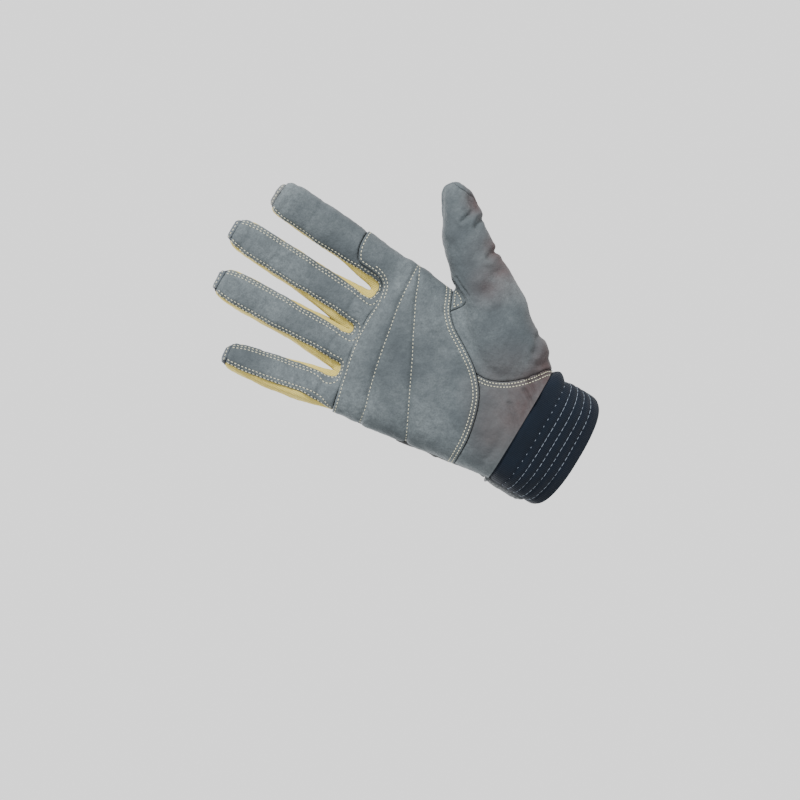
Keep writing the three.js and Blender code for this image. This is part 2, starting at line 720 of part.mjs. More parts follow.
function cuffPoint(turn, z, offset) {
  const { halfWidth, front, back } = handSection(0, offset);
  const [x, y] = roundedPoint(turn, halfWidth, front, back, handSquareness);
  const slack = (cuffSlack / cuffLength) * Math.max(0, Math.sin(turn)) ** 1.5;
  return bent([handCentre + x, y, z * (1 + slack)]);
}

function cuffForm(offset, rows) {
  return loft(reverse(rows).map(([z, depth]) => {
    return turns(cuffTurns).map((turn) => cuffPoint(turn, z, offset - depth));
  }));
}

function cuff() {
  const ribs = elasticLines.flatMap((share, i) => {
    const next = elasticLines[i + 1] ?? 1;
    return [[-share * cuffLength, ribDepth], [(-(share + next) / 2) * cuffLength, 0]];
  });
  const first = -elasticLines[0] * 0.5 * cuffLength;
  const outer = cuffForm(0, [[-gap, 0], [first, 0], ...ribs.slice(0, -1), [-cuffLength, 0]]);
  const below = [0, 0.33, 0.67, 1, 1.05].map((share) => [-share * cuffLength, 0]);
  const inner = cuffForm(-cuffWall, [[2, 0], ...below]);
  return outer.subtract(inner);
}

// A plate that lies round the cuff between two turns, with its corners rounded at the end that shows.
function cuffPlate(turnFrom, turnTo, top, bottom, corner, innerAt, thick) {
  const count = 13;
  const length = (Math.abs(turnTo - turnFrom) * wristWidth) / 2;
  const rings = Array.from({ length: count + 1 }, (unused, i) => {
    const share = 1 - (1 - i / count) ** 1.6;
    const turn = turnFrom + (turnTo - turnFrom) * share;
    const fromCorner = Math.max(0, corner - (1 - share) * length);
    const cut = corner - Math.sqrt(corner ** 2 - fromCorner ** 2);
    const [low, high] = [bottom + cut, top - cut];
    const inner = innerAt(turn);
    const zs = steps(low, high, 3);
    return [
      ...zs.map((z) => cuffPoint(turn, z, inner + thick)),
      ...reverse(zs).map((z) => cuffPoint(turn, z, inner)),
    ];
  });
  return loft(rings);
}

const patchTurns = [radians(62), radians(112)];
const tabTurns = [radians(93), radians(186)];

function loopPatch() {
  const bottom = loopPatchTop - loopPatchWidth;
  return cuffPlate(patchTurns[1], patchTurns[0], loopPatchTop, bottom, 1.5, () => gap, loopPatchThick);
}

function wristTab() {
  const top = -0.6;
  const clear = loopPatchThick + 2 * gap;
  const overPatch = (turn) => {
    const share = Math.min(1, Math.max(0, (tabTurns[1] - turn) / (tabTurns[1] - patchTurns[1] - 0.15)));
    return gap + (clear - gap) * share * share * (3 - 2 * share);
  };
  return cuffPlate(tabTurns[1], tabTurns[0], top, top - tabWidth, tabCorner, overPatch, tabThick);
}

// A solid as a named mesh in the glove's own frame.
function meshOf(name, solid, material) {
  const { vertProperties, triVerts, numProp } = solid.getMesh();
  const points = [];
  for (let i = 0; i < vertProperties.length; i += numProp) {
    points.push(vertProperties[i], vertProperties[i + 1], vertProperties[i + 2]);
  }
  const geometry = new THREE.BufferGeometry();
  geometry.setAttribute("position", new THREE.Float32BufferAttribute(points, 3));
  geometry.setIndex([...triVerts]);
  geometry.translate(-handCentre, -mouthY, -mouthZ);
  geometry.computeVertexNormals();
  const mesh = new THREE.Mesh(geometry, material);
  mesh.name = name;
  return mesh;
}

const finish = (color, roughness) => new THREE.MeshStandardMaterial({ color, roughness, metalness: 0 });
const greyLeather = finish("#6f7a80", 0.9);
const knuckleGrey = finish("#6b7886", 0.8);
const aramid = finish("#e6dc8c", 0.75);
const navy = finish("#16263b", 0.85);
const loopBlue = finish("#1b3f86", 0.95);
const rubber = finish("#15181c", 0.55);

const glove = new THREE.Group();
glove.name = "glove";
glove.add(
  meshOf("palm_panel", main(leatherLayer.intersect(palmRegion())), greyLeather),
  meshOf("heel_panel", leatherLayer.intersect(heelRegion()), greyLeather),
  meshOf("thumb_gusset", leatherLayer.intersect(gussetRegion()), greyLeather),
  meshOf("thumb_front", thumbLeather.intersect(thumbHalf(true)), greyLeather),
  meshOf("thumb_back", thumbLeather.intersect(thumbHalf(false)), greyLeather),
  meshOf("finger_panel", fingerPanel(), greyLeather),
  meshOf("index_front", indexFront(), greyLeather),
  meshOf("fourchette_index_middle", fourchettes[0], aramid),
  meshOf("fourchette_middle_ring", fourchettes[1], aramid),
  meshOf("fourchette_ring_little", fourchettes[2], aramid),
  meshOf("little_side_gusset", fabricLayer.intersect(littleSide), aramid),
  meshOf("back_fabric", backFabric(), navy),
  meshOf("back_panel", backPanel(), greyLeather),
  meshOf("knuckle_panel", knucklePanel(), knuckleGrey),
  meshOf("badge", badge(), rubber),
  meshOf("cuff", cuff(), navy),
  meshOf("loop_patch", loopPatch(), loopBlue),
  meshOf("wrist_tab", wristTab(), greyLeather),
);

export default glove;
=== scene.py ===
"""A right-hand work glove: grey leather palm, aramid finger sides, navy stretch back, tabbed elastic cuff.

Everything is shaped in the hand's frame in millimetres, where z is 0 at the seam of leather and cuff, and
is moved to the part's frame in metres when a mesh is made.
"""
import math

import bpy
import numpy as np
from mathutils import Matrix, Vector


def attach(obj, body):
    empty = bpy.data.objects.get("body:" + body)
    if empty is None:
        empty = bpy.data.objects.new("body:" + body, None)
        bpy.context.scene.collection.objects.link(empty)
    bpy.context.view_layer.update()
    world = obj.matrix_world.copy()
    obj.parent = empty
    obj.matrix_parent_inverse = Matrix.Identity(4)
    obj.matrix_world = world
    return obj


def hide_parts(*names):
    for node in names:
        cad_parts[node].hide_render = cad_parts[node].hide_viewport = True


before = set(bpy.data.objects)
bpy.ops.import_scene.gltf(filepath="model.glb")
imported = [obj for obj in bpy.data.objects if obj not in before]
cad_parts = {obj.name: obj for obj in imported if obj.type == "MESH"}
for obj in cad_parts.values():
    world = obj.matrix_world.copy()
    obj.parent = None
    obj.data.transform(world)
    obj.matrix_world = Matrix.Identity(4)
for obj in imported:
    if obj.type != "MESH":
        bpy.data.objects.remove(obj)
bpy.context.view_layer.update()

# Sizes, in millimetres and degrees
PALM_LENGTH = 111.0
PALM_WIDTH = 96.0
KNUCKLE_DEPTH = 28.0
WRIST_WIDTH = 72.0
WRIST_DEPTH = 43.0
HAND_CENTRE = -1.8
PALM_CUP = 4.5
KNUCKLE_SLANT = 5.5
FRONT_SHARE = 0.52
THUMB_LENGTH = 105.4
THUMB_WIDTH = 32.0
THUMB_DEPTH = 28.0
THUMB_LEAN = math.radians(40.2)
THUMB_ROOT = (28.0, 24.0)
THUMB_FORWARD = 9.0
CUFF_LENGTH = 28.5
CUFF_BEND = math.radians(31.0)
CUFF_SLACK = 10.0
CUFF_FACE = -0.3  # the cuff's face over the wrist's section, before its relief
CUFF_RADIUS = CUFF_LENGTH / CUFF_BEND
MOUTH_Z = -CUFF_RADIUS * math.sin(CUFF_BEND)
MOUTH_Y = CUFF_RADIUS * (1 - math.cos(CUFF_BEND))
SHIFT = np.array([-HAND_CENTRE, -MOUTH_Y, -MOUTH_Z])

STRIP_SEAM = 5.6  # the front leather of a finger ends this far in front of its middle
BACK_SEAM = 3.2
TIP_WRAP = 2.6
FABRIC_HEIGHT = -0.9  # faces of the layers over the leather's own face
OVERLAY_HEIGHT = 0.9
SEAM = 0.14  # half the gap between two pieces
VOXEL = 0.9
EASING = (12, 0.6)  # rounds and share of the skin's smoothing
NOTCH_TOP = 87.0  # the knuckle leather's notches, and how much higher they are beside the middle finger
NOTCH_RISE = 4.5
ARAMID_FOOT = 94.0  # heights from which the fingers' aramid, side seams and stitches begin
INDEX_FOOT = 104.0
ROWS_FOOT = 97.0
# What a field says of places that a piece has nothing to do with
INSIDE = 9.0
OUTSIDE = -5.0
FAR_OUTSIDE = -9.0

# Powers of the rounded sections
HAND_POWER = 2.6
FINGER_POWER = 2.7
THUMB_POWER = 2.2

# How fine the meshes are: points of a section, rings of a loft, grids of the cuff and of the plates
SECTION_POINTS = 72
LOFT_RINGS = 80
FINGER_RINGS = 56
CUFF_TURNS = 300
CUFF_ROWS = (76, 5, 20)
PLATE_STEPS = 1.6  # for each degree
PLATE_ROWS = 52
BADGE_GRID = (130, 74)

# The index, middle, ring and little finger: x and z are those of the root, strap is the width of the
# leather strap along the back
FINGER_COLUMNS = ("x", "z", "length", "width", "depth", "lean", "roll", "curl", "strap", "taper")
FINGERS = [dict(zip(FINGER_COLUMNS, row)) for row in (
    (35.8, 111.0, 77.2, 23.4, 20, 2.8, -7, 4, 15, 0),
    (7.1, 111.0, 88.2, 22, 20, 1.7, 5, 5, 12.5, 0),
    (-16.9, 109.9, 81.8, 22, 19.5, -1.9, 8, 6, 11.5, 0),
    (-41.95, 104.0, 63.2, 20.2, 18, -11, 18, 6, 10, 0.2),
)]
CROTCHES = [111.0, 111.0, 105.45]
# How far the fabric between two fingers stands out beside each of them, and how far up
BULGES = ((4.4, 3.2, 30), (4.4, 2.8, 46), (3.8, 2.6, 38))
LITTLE_BULGE = 1.6
# Folds across a finger's front: share of its length, depth
FINGER_FOLDS = ((0.07, 0.6), (0.36, 0.35), (0.40, 0.25), (0.66, 0.3), (0.88, 0.55))

# Share of PALM_LENGTH, width's and depth's way from the wrist's to the knuckles', rounding of the end
HAND = np.array([
    [-0.12, 0.0, 0.0, 1.0], [0.0, 0.0, 0.0, 1.0], [0.18, 0.2, 0.2, 1.0], [0.36, 0.43, 0.46, 1.0],
    [0.56, 0.72, 0.62, 1.0], [0.765, 0.96, 0.82, 1.0], [0.88, 1.0, 0.97, 1.0], [0.937, 1.0, 1.0, 0.86],
    [0.964, 0.94, 1.0, 0.64],
])
# Share of a finger's length, shares of its width and depth
FINGER = np.array([
    [-0.24, 0.86, 0.9], [0.0, 0.93, 1.0], [0.2, 0.99, 1.02], [0.4, 1.0, 0.98], [0.6, 1.01, 0.96],
    [0.75, 0.99, 0.92], [0.87, 0.97, 0.86], [0.93, 0.89, 0.75], [0.97, 0.75, 0.58], [0.99, 0.58, 0.42],
    [1.0, 0.42, 0.3],
])
# Share of the thumb's length, shift aside, shares of width and depth, share of THUMB_FORWARD
THUMB = np.array([
    [-0.13, 0.02, 1.25, 1.1, 0.5], [0.0, 0.0, 1.32, 1.28, 0.65], [0.15, -0.05, 1.25, 1.26, 0.8],
    [0.31, 0.0, 1.15, 1.12, 0.95], [0.42, -0.01, 1.02, 1.0, 1.0], [0.48, -0.07, 1.0, 0.96, 1.0],
    [0.53, -0.09, 0.94, 0.92, 1.02], [0.6, -0.08, 0.91, 0.86, 1.05], [0.68, -0.08, 0.86, 0.83, 1.1],
    [0.745, -0.09, 0.79, 0.78, 1.12], [0.81, -0.04, 0.7, 0.74, 1.15], [0.89, -0.01, 0.61, 0.66, 1.2],
    [0.94, -0.01, 0.52, 0.56, 1.22], [0.975, -0.02, 0.4, 0.44, 1.24], [1.0, -0.03, 0.22, 0.24, 1.25],
])

# Seams in plan, as shares of PALM_WIDTH and PALM_LENGTH, each running left to right or bottom to top
HEEL_SEAM = [
    (-0.6, 0.189), (-0.427, 0.189), (-0.208, 0.203), (-0.104, 0.225), (0, 0.261), (0.104, 0.333),
    (0.208, 0.459), (0.281, 0.559), (0.344, 0.608), (0.427, 0.64), (0.49, 0.671), (0.521, 0.707),
]
THUMB_SEAM = [
    (0.104, 0.333), (0.107, 0.27), (0.125, 0.225), (0.156, 0.176), (0.208, 0.122), (0.281, 0.068),
    (0.344, 0.027), (0.385, -0.04),
]
GUSSET_SEAM = [(0.344, 0.608), (0.38, 0.584), (0.422, 0.569), (0.453, 0.592), (0.475, 0.63), (0.49, 0.671)]
BASE_SEAM = [
    (-0.6, 0.852), (-0.51, 0.869), (-0.312, 0.913), (-0.104, 0.95), (0, 0.96), (0.208, 0.962), (0.271, 0.982),
    (0.302, 1.027), (0.31, 1.09), (0.318, 1.144), (0.354, 1.164), (0.56, 1.185),
]
PANEL_EDGE = [
    (-0.6, 0.44), (-0.526, 0.486), (-0.453, 0.518), (-0.349, 0.559), (-0.245, 0.595), (-0.141, 0.626),
    (-0.036, 0.644), (0.12, 0.671), (0.193, 0.689), (0.245, 0.721), (0.28, 0.775), (0.305, 0.86),
    (0.309, 0.94),
]
PANEL_SIDE = [
    (0.312, -0.04), (0.307, 0.0), (0.297, 0.09), (0.297, 0.18), (0.328, 0.27), (0.359, 0.36), (0.391, 0.45),
    (0.404, 0.54), (0.416, 0.649), (0.435, 0.75), (0.455, 0.84), (0.464, 0.93),
]
KNUCKLE_EDGE = [
    (-0.6, 0.545), (-0.521, 0.568), (-0.349, 0.622), (-0.141, 0.68), (-0.036, 0.707), (0.068, 0.725),
    (0.1, 0.748), (0.122, 0.784), (0.125, 0.86), (0.13, 0.95),
]
THUMB_BACK_SEAM = [
    (0.355, -0.04), (0.375, 0.05), (0.396, 0.18), (0.427, 0.297), (0.453, 0.405), (0.479, 0.541),
    (0.5, 0.649), (0.521, 0.707),
]
QUILT_LINES = [
    [(-50, 79), (-40, 80.5), (-30, 83.5), (-10, 88.5), (0, 90.5), (10, 92.5), (20, 94.5), (30, 95.5),
     (48, 97)],
    [(-46, 50.5), (-40, 53), (-30, 58), (-20, 63), (-10, 68), (0, 73), (10, 78.5), (20, 83.5), (30, 88.5),
     (40, 92.5), (48, 97)],
]
# How far the rows of stitches are from a piece's edge
HEEL_ROWS = (1.5, 3.5)
BASE_ROWS = (1.6, 3.5)
THUMB_ROWS = (1.3, 3.1)
FINGER_ROWS = (1.1, 3.1)
BACK_ROWS = (1.3, 3.3)
TAB_ROWS = (2.4,)
# Creases: points in plan, depth, half width
PALM_CREASES = [([(14, 60), (20, 74), (30, 86)], 0.35, 3.0)]
THUMB_CREASES = [
    ([(50.5, 75), (47.6, 69.5), (46.6, 65.5), (45, 63)], 0.8, 0.6),
    ([(79.5, 88), (83, 86.8), (88.5, 85)], 1.0, 1.1),
    ([(84, 87.5), (88, 87), (91, 88.5)], 1.2, 2.6),
    ([(90, 86), (91.5, 88.5), (93.5, 91)], 1.2, 1.8),
    ([(81, 79.5), (86, 80)], 1.2, 1.3),
    ([(69, 64.5), (73, 64.2), (76, 62.5)], 1.4, 1.6),
    ([(64, 56), (67, 54.8)], 0.8, 1.7),
    ([(52, 56), (58, 55.5), (64, 57.5)], 1.5, 3.6),
    ([(37, 15), (41, 15.5), (46, 17.5)], 1.2, 1.7),
    ([(32, 9), (35, 7), (38, 6.5)], 0.8, 1.6),
    ([(44, 12.5), (43, 9)], -0.8, 3.5),
    ([(58, 76), (62, 80), (66, 86)], 0.5, 2.4),
]
HEEL_CREASES = [
    ([(-34, 8), (-20, 6), (-10, 7)], 0.5, 2.2),
    ([(5, 12), (0, 6), (-5, 0)], 1.0, 1.3),
    ([(16, 9), (14, 5), (9.5, -1)], 1.4, 1.1),
    ([(23, 12), (19, 5), (15, 0)], 1.2, 1.1),
    ([(29, 10), (26, 4), (22, 0)], 0.9, 1.1),
]
BACK_CREASES = [
    ([(-40, 30), (-38, 18), (-39, 6)], 0.9, 1.6),
    ([(22, 46), (26, 30), (27, 14)], 0.5, 2.5),
    ([(-14, 11), (-2, 9.5), (8, 6), (20, 0)], 1.4, 1.7),
    ([(8, 15), (15, 10), (24, 1)], 1.1, 1.5),
    ([(-20, 16), (-14, 9), (-4, 4)], 0.9, 1.7),
    ([(-28, 20), (-34, 12), (-38, 3)], 0.8, 2.2),
    ([(-34, 62), (-30, 45), (-33, 34)], 0.4, 4.0),
]
# The band of gathers on the back
GATHER_LEFT, GATHER_RIGHT, GATHER_COUNT = -31.0, 18.0, 10
GATHER_LOW, GATHER_HIGH = 18.5, 31.0
DIAMOND_MIDDLE, DIAMOND_HEIGHT = 24.7, 8.2
# The back leather's lower edge: x and height
BACK_FOOT = [-46, -36, -26, -8, 8, 18, 26], [0, 2.2, 2.7, 3.0, 2.2, 0.6, 0]
# Where rows of stitches cross from one knuckle strap to the next
STRAP_CROSSINGS = ((-21.8, -14.2), (-45.5, -40.5))
# Heights of the cuff's lines of stitches; turns round the wrist and heights of the plates on it
ELASTIC_LINES = (-8.0, -11.6, -15.4, -19.4, -23.4)
PATCH_TURNS = (62, 112)
PATCH_SPAN = (-3.8, -22.3)
TAB_TURNS = (93, 186)
TAB_SPAN = (1.0, -23.0)
# The badge and its blocks; each block's left and right end
BADGE_MIDDLE = (-0.078 * PALM_WIDTH, 0.428 * PALM_LENGTH)
BADGE_SIZE = (37.0, 20.0)
BADGE_TURN = math.radians(-5)
BLOCKS = ((-14.2, -6.9), (-5.9, 5.9), (6.9, 14.2))
BLOCK_REACH = 6.3


# Small helpers
def smooth(x, low, high):
    t = np.clip((x - low) / (high - low), 0, 1)
    return t * t * (3 - 2 * t)


def column(table, index, at):
    """A table's column read at places along it, eased by a cubic."""
    x, y = table[:, 0], table[:, index]
    slope = np.gradient(y, x)
    at = np.clip(at, x[0], x[-1])
    i = np.clip(np.searchsorted(x, at) - 1, 0, len(x) - 2)
    h = x[i + 1] - x[i]
    t = (at - x[i]) / h
    return (
        (2 * t**3 - 3 * t**2 + 1) * y[i] + (t**3 - 2 * t**2 + t) * h * slope[i]
        + (3 * t**2 - 2 * t**3) * y[i + 1] + (t**3 - t**2) * h * slope[i + 1]
    )


def run_of(points):
    """How far along a polyline each of its points is."""
    return np.concatenate([[0], np.cumsum(np.linalg.norm(np.diff(points, axis=0), axis=1))])


def spline(points, step):
    """An even polyline through points, eased."""
    p = np.asarray(points, float)
    along = run_of(p)
    at = np.linspace(0, along[-1], max(3, int(along[-1] / step)))
    table = np.column_stack([along, p])
    return np.column_stack([column(table, k + 1, at) for k in range(p.shape[1])])


def plan_line(shares):
    return spline([(u * PALM_WIDTH, v * PALM_LENGTH) for u, v in shares], 1.5)


def line_distance(x, z, line, extend=True):
    """Signed distance in plan, positive to the left of the line's direction."""
    if extend:
        ends = [a + (a - b) * 200 / np.linalg.norm(a - b) for a, b in (line[:2], line[:-3:-1])]
        line = np.vstack([ends[0], line, ends[1]])
    best = np.full(x.shape, 1e9)
    side = np.ones(x.shape)
    for a, b in zip(line[:-1], line[1:]):
        d = b - a
        t = np.clip(((x - a[0]) * d[0] + (z - a[1]) * d[1]) / (d @ d), 0, 1)
        gap = np.hypot(x - a[0] - t * d[0], z - a[1] - t * d[1])
        nearer = gap < best
        best = np.where(nearer, gap, best)
        side = np.where(nearer, np.sign(d[0] * (z - a[1]) - d[1] * (x - a[0])), side)
    return best * np.where(side == 0, 1, side)


def smallest(*values):
    return np.minimum.reduce(values)


def unit(vectors):
    return vectors / np.maximum(np.linalg.norm(vectors, axis=1), 1e-12)[:, None]


def waves(p, size, seed):
    """A soft noise of about unit height: sine waves of about one size in random directions."""
    count = 18
    rng = np.random.default_rng(seed)
    total = np.zeros(len(p))
    for _ in range(count):
        way = rng.normal(size=3)
        way *= 2 * math.pi / (size * rng.uniform(0.7, 1.5) * np.linalg.norm(way))
        total += np.sin(p @ way + rng.uniform(0, 2 * math.pi))
    return total / math.sqrt(count)


def either(a, b, soften=2.0):
    """The greater of two fields, with the corner between them rounded."""
    h = np.clip(0.5 + 0.5 * (a - b) / soften, 0, 1)
    return b + (a - b) * h + soften * h * (1 - h)


def rounded(turn, half_width, front, back, power):
    c, s = np.cos(turn), np.sin(turn)
    x = np.sign(c) * half_width * np.abs(c) ** (2 / power)
    y = np.sign(s) * np.where(s < 0, front, back) * np.abs(s) ** (2 / power)
    return x, y


# The hand's form
def cup_at(x, along):
    share = (x - HAND_CENTRE) / (PALM_WIDTH / 2)
    return PALM_CUP * np.clip(along, 0, 1) * share**2


def hand_section(along):
    half_width = (WRIST_WIDTH + (PALM_WIDTH - WRIST_WIDTH) * column(HAND, 1, along)) / 2
    depth = (WRIST_DEPTH + (KNUCKLE_DEPTH - WRIST_DEPTH) * column(HAND, 2, along)) * column(HAND, 3, along)
    return half_width, depth * FRONT_SHARE, depth * (1 - FRONT_SHARE)


def grid_faces(rows, count, rows_close=False, points_close=True):
    """Quads over rows of points; the last row or the rows' last points may join the first ones."""
    i, j = np.meshgrid(np.arange(rows - 1 + rows_close), np.arange(count - 1 + points_close), indexing="ij")
    here, above, right = i * count, (i + 1) % rows * count, (j + 1) % count
    return np.stack([here + j, here + right, above + right, above + j], -1).reshape(-1, 4)


def halved(quads):
    return np.vstack([quads[:, [0, 1, 2]], quads[:, [0, 2, 3]]])


def ring_mesh(rings):
    """Vertices and triangles of a closed loft through rings of equal counts."""
    rows, count = len(rings), len(rings[0])
    verts = np.vstack(rings + [rings[0].mean(0)[None], rings[-1].mean(0)[None]])
    here = np.arange(count)
    following = (here + 1) % count
    top = (rows - 1) * count
    foot_lid = np.column_stack([following, here, np.full(count, rows * count)])
    top_lid = np.column_stack([top + here, top + following, np.full(count, rows * count + 1)])
    return verts, np.vstack([halved(grid_faces(rows, count)), foot_lid, top_lid])


TURNS = np.linspace(0, 2 * math.pi, SECTION_POINTS, endpoint=False)


def hand_loft():
    rings = []
    for along in np.linspace(HAND[0, 0], HAND[-1, 0], LOFT_RINGS):
        half_width, front, back = hand_section(along)
        x, y = rounded(TURNS, half_width, front, back, HAND_POWER)
        low = np.clip(-x / (PALM_WIDTH / 2), 0, None)
        z = along * PALM_LENGTH - KNUCKLE_SLANT * low * max(0, along) ** 2
        rings.append(np.column_stack([HAND_CENTRE + x, y - cup_at(HAND_CENTRE + x, along), z]))
    return ring_mesh(rings)


def finger_axes(f):
    lean, roll = math.radians(f["lean"]), math.radians(f["roll"])
    root = np.array([f["x"], -cup_at(f["x"], 1), f["z"]])
    along = np.array([math.sin(lean), 0, math.cos(lean)])
    across = np.array([math.cos(lean) * math.cos(roll), math.sin(roll), -math.sin(lean) * math.cos(roll)])
    back = np.array([-math.cos(lean) * math.sin(roll), math.cos(roll), math.sin(lean) * math.sin(roll)])
    return root, along, across, back


def finger_middle(f, s):
    root, along, _, _ = finger_axes(f)
    share = np.clip(np.asarray(s) / f["length"], 0, None)
    drop = np.multiply.outer(f["curl"] * share**2, np.array([0, -1.0, 0]))
    return root + np.multiply.outer(s, along) + drop


def finger_halves(f, s):
    share = np.asarray(s) / f["length"]
    taper = 1 + f["taper"] * (0.5 - np.clip(share, 0, None))
    return f["width"] / 2 * column(FINGER, 1, share) * taper, f["depth"] / 2 * column(FINGER, 2, share)


def finger_loft(f):
    _, _, across, back = finger_axes(f)
    rings = []
    for s in np.linspace(FINGER[0, 0] * f["length"], f["length"], FINGER_RINGS):
        half_width, half_depth = finger_halves(f, s)
        x, y = rounded(TURNS, half_width, half_depth, half_depth, FINGER_POWER)
        rings.append(finger_middle(f, s) + np.outer(x, across) + np.outer(y, back))
    return ring_mesh(rings)


def thumb_middle(s):
    share = np.asarray(s) / THUMB_LENGTH
    side = column(THUMB, 1, share) * THUMB_WIDTH
    x = THUMB_ROOT[0] + math.sin(THUMB_LEAN) * s + math.cos(THUMB_LEAN) * side
    z = THUMB_ROOT[1] + math.cos(THUMB_LEAN) * s - math.sin(THUMB_LEAN) * side
    return np.stack([x, -column(THUMB, 4, share) * THUMB_FORWARD, z], -1)


def thumb_loft():
    across = np.array([math.cos(THUMB_LEAN), 0, -math.sin(THUMB_LEAN)])
    rings = []
    for s in np.linspace(THUMB[0, 0] * THUMB_LENGTH, THUMB_LENGTH, LOFT_RINGS):
        share = s / THUMB_LENGTH
        half_width = THUMB_WIDTH / 2 * column(THUMB, 2, share)
        half_depth = THUMB_DEPTH / 2 * column(THUMB, 3, share)
        x, y = rounded(TURNS, half_width, half_depth, half_depth, THUMB_POWER)
        rings.append(thumb_middle(s) + np.outer(x, across) + np.outer(y, [0, 1, 0]))
    return ring_mesh(rings)


def web_loft(index):
    near, following = FINGERS[index], FINGERS[index + 1]
    left, right = following["x"], near["x"]
    y = -cup_at((left + right) / 2, 1)
    reach = 0.36 * near["depth"]
    rings = []
    for below, shrink in ((18, 0), (4, 0), (1.5, 0.6), (0, 2.2)):
        z = CROTCHES[index] - below
        r = reach - shrink
        corners = [(right, y - r), (right, y + r), (left, y + r), (left, y - r)]
        rings.append(np.array([(*corner, z) for corner in corners]))
    return ring_mesh(rings)


def raw_mesh(name, verts, faces):
    """A Blender mesh from arrays."""
    mesh = bpy.data.meshes.new(name)
    mesh.from_pydata(verts.tolist(), [], faces.tolist())
    mesh.validate()
    return mesh


def placed(name, data):
    made = bpy.data.objects.new(name, data)
    bpy.context.scene.collection.objects.link(made)
    return made


def neighbour_mean(verts, edges):
    count = np.bincount(edges.ravel(), minlength=len(verts))[:, None]
    total = np.column_stack([
        np.bincount(edges[:, 0], verts[edges[:, 1], k], len(verts))
        + np.bincount(edges[:, 1], verts[edges[:, 0], k], len(verts)) for k in range(verts.shape[1])
    ])
    return total / np.maximum(count, 1)


def sides_of(tris):
    return np.vstack([tris[:, [0, 1]], tris[:, [1, 2]], tris[:, [2, 0]]])


def normals_of(verts, tris):
    n = np.cross(verts[tris[:, 1]] - verts[tris[:, 0]], verts[tris[:, 2]] - verts[tris[:, 0]])
    return unit(np.column_stack([
        sum(np.bincount(tris[:, c], n[:, k], len(verts)) for c in range(3)) for k in range(3)
    ]))


def skin():
    """One smooth skin over the whole hand, open below the wrist once it is cut."""
    parts = [hand_loft(), thumb_loft()] + [finger_loft(f) for f in FINGERS] + [web_loft(i) for i in range(3)]
    starts = np.cumsum([0] + [len(verts) for verts, _ in parts])
    faces = [tris + start for (_, tris), start in zip(parts, starts)]
    form = placed("form", raw_mesh("form", np.vstack([verts for verts, _ in parts]), np.vstack(faces)))
    remesh = form.modifiers.new("remesh", "REMESH")
    remesh.mode = "VOXEL"
    remesh.voxel_size = VOXEL
    mesh = form.evaluated_get(bpy.context.evaluated_depsgraph_get()).to_mesh()
    mesh.calc_loop_triangles()
    verts = np.array([v.co for v in mesh.vertices], float)
    tris = np.array([t.vertices for t in mesh.loop_triangles])
    bpy.data.objects.remove(form)
    edges = np.unique(np.sort(sides_of(tris), axis=1), axis=0)
    rounds, share = EASING
    for _ in range(rounds):
        verts = verts + share * (neighbour_mean(verts, edges) - verts)
    return verts, tris


class Cloth:
    """Triangles with named values at their vertices, which a cut carries along."""

    def __init__(self, tris, values):
        self.tris = tris
        self.values = values

    def cut(self, field):
        """The part where the field is above zero, cut exactly."""
        f = np.where(np.abs(field) < 1e-3, -1e-3, field)
        inside = f > 0
        count = inside[self.tris].sum(1)
        crossed = []
        for wanted in (1, 2):
            t = self.tris[count == wanted]
            odd = np.argmax(inside[t] == (wanted == 1), axis=1)
            crossed.append(np.stack([t[np.arange(len(t)), (odd + k) % 3] for k in range(3)], 1))
        pairs = np.vstack([t[:, ends] for t in crossed for ends in ([0, 1], [0, 2])])
        keys, where = np.unique(np.sort(pairs, axis=1), axis=0, return_inverse=True)
        one_in, two_in = crossed
        stops = np.cumsum([len(one_in), len(one_in), len(two_in)])
        corner_first, corner_second, first, second = np.split(where.ravel() + len(f), stops)
        tris = np.vstack([
            self.tris[count == 3],
            np.column_stack([one_in[:, 0], corner_first, corner_second]),
            np.column_stack([first, two_in[:, 1], two_in[:, 2]]),
            np.column_stack([first, two_in[:, 2], second]),
        ])
        t = f[keys[:, 0]] / (f[keys[:, 0]] - f[keys[:, 1]])
        values = {}
        for name, v in self.values.items():
            mix = t if v.ndim == 1 else t[:, None]
            values[name] = np.concatenate([v, v[keys[:, 0]] * (1 - mix) + v[keys[:, 1]] * mix])
        used = np.unique(tris)
        renumber = np.zeros(len(f) + len(keys), int)
        renumber[used] = np.arange(len(used))
        return Cloth(renumber[tris], {name: v[used] for name, v in values.items()})


def arc_from_front(u, w, half_width, half_depth):
    """How far a point of a finger's section is from its front, along its outline."""
    turn = np.linspace(0, math.pi / 2, 200)
    section = np.column_stack([np.sin(turn) ** (2 / FINGER_POWER), np.cos(turn) ** (2 / FINGER_POWER) * 0.9])
    along = run_of(section)
    power = FINGER_POWER / 2
    own = np.arctan2(np.abs(u / half_width) ** power, np.abs(w / half_depth) ** power)
    arc = np.interp(own, turn, along) * half_width
    return np.where(w < 0, arc, 2 * along[-1] * half_width - arc)


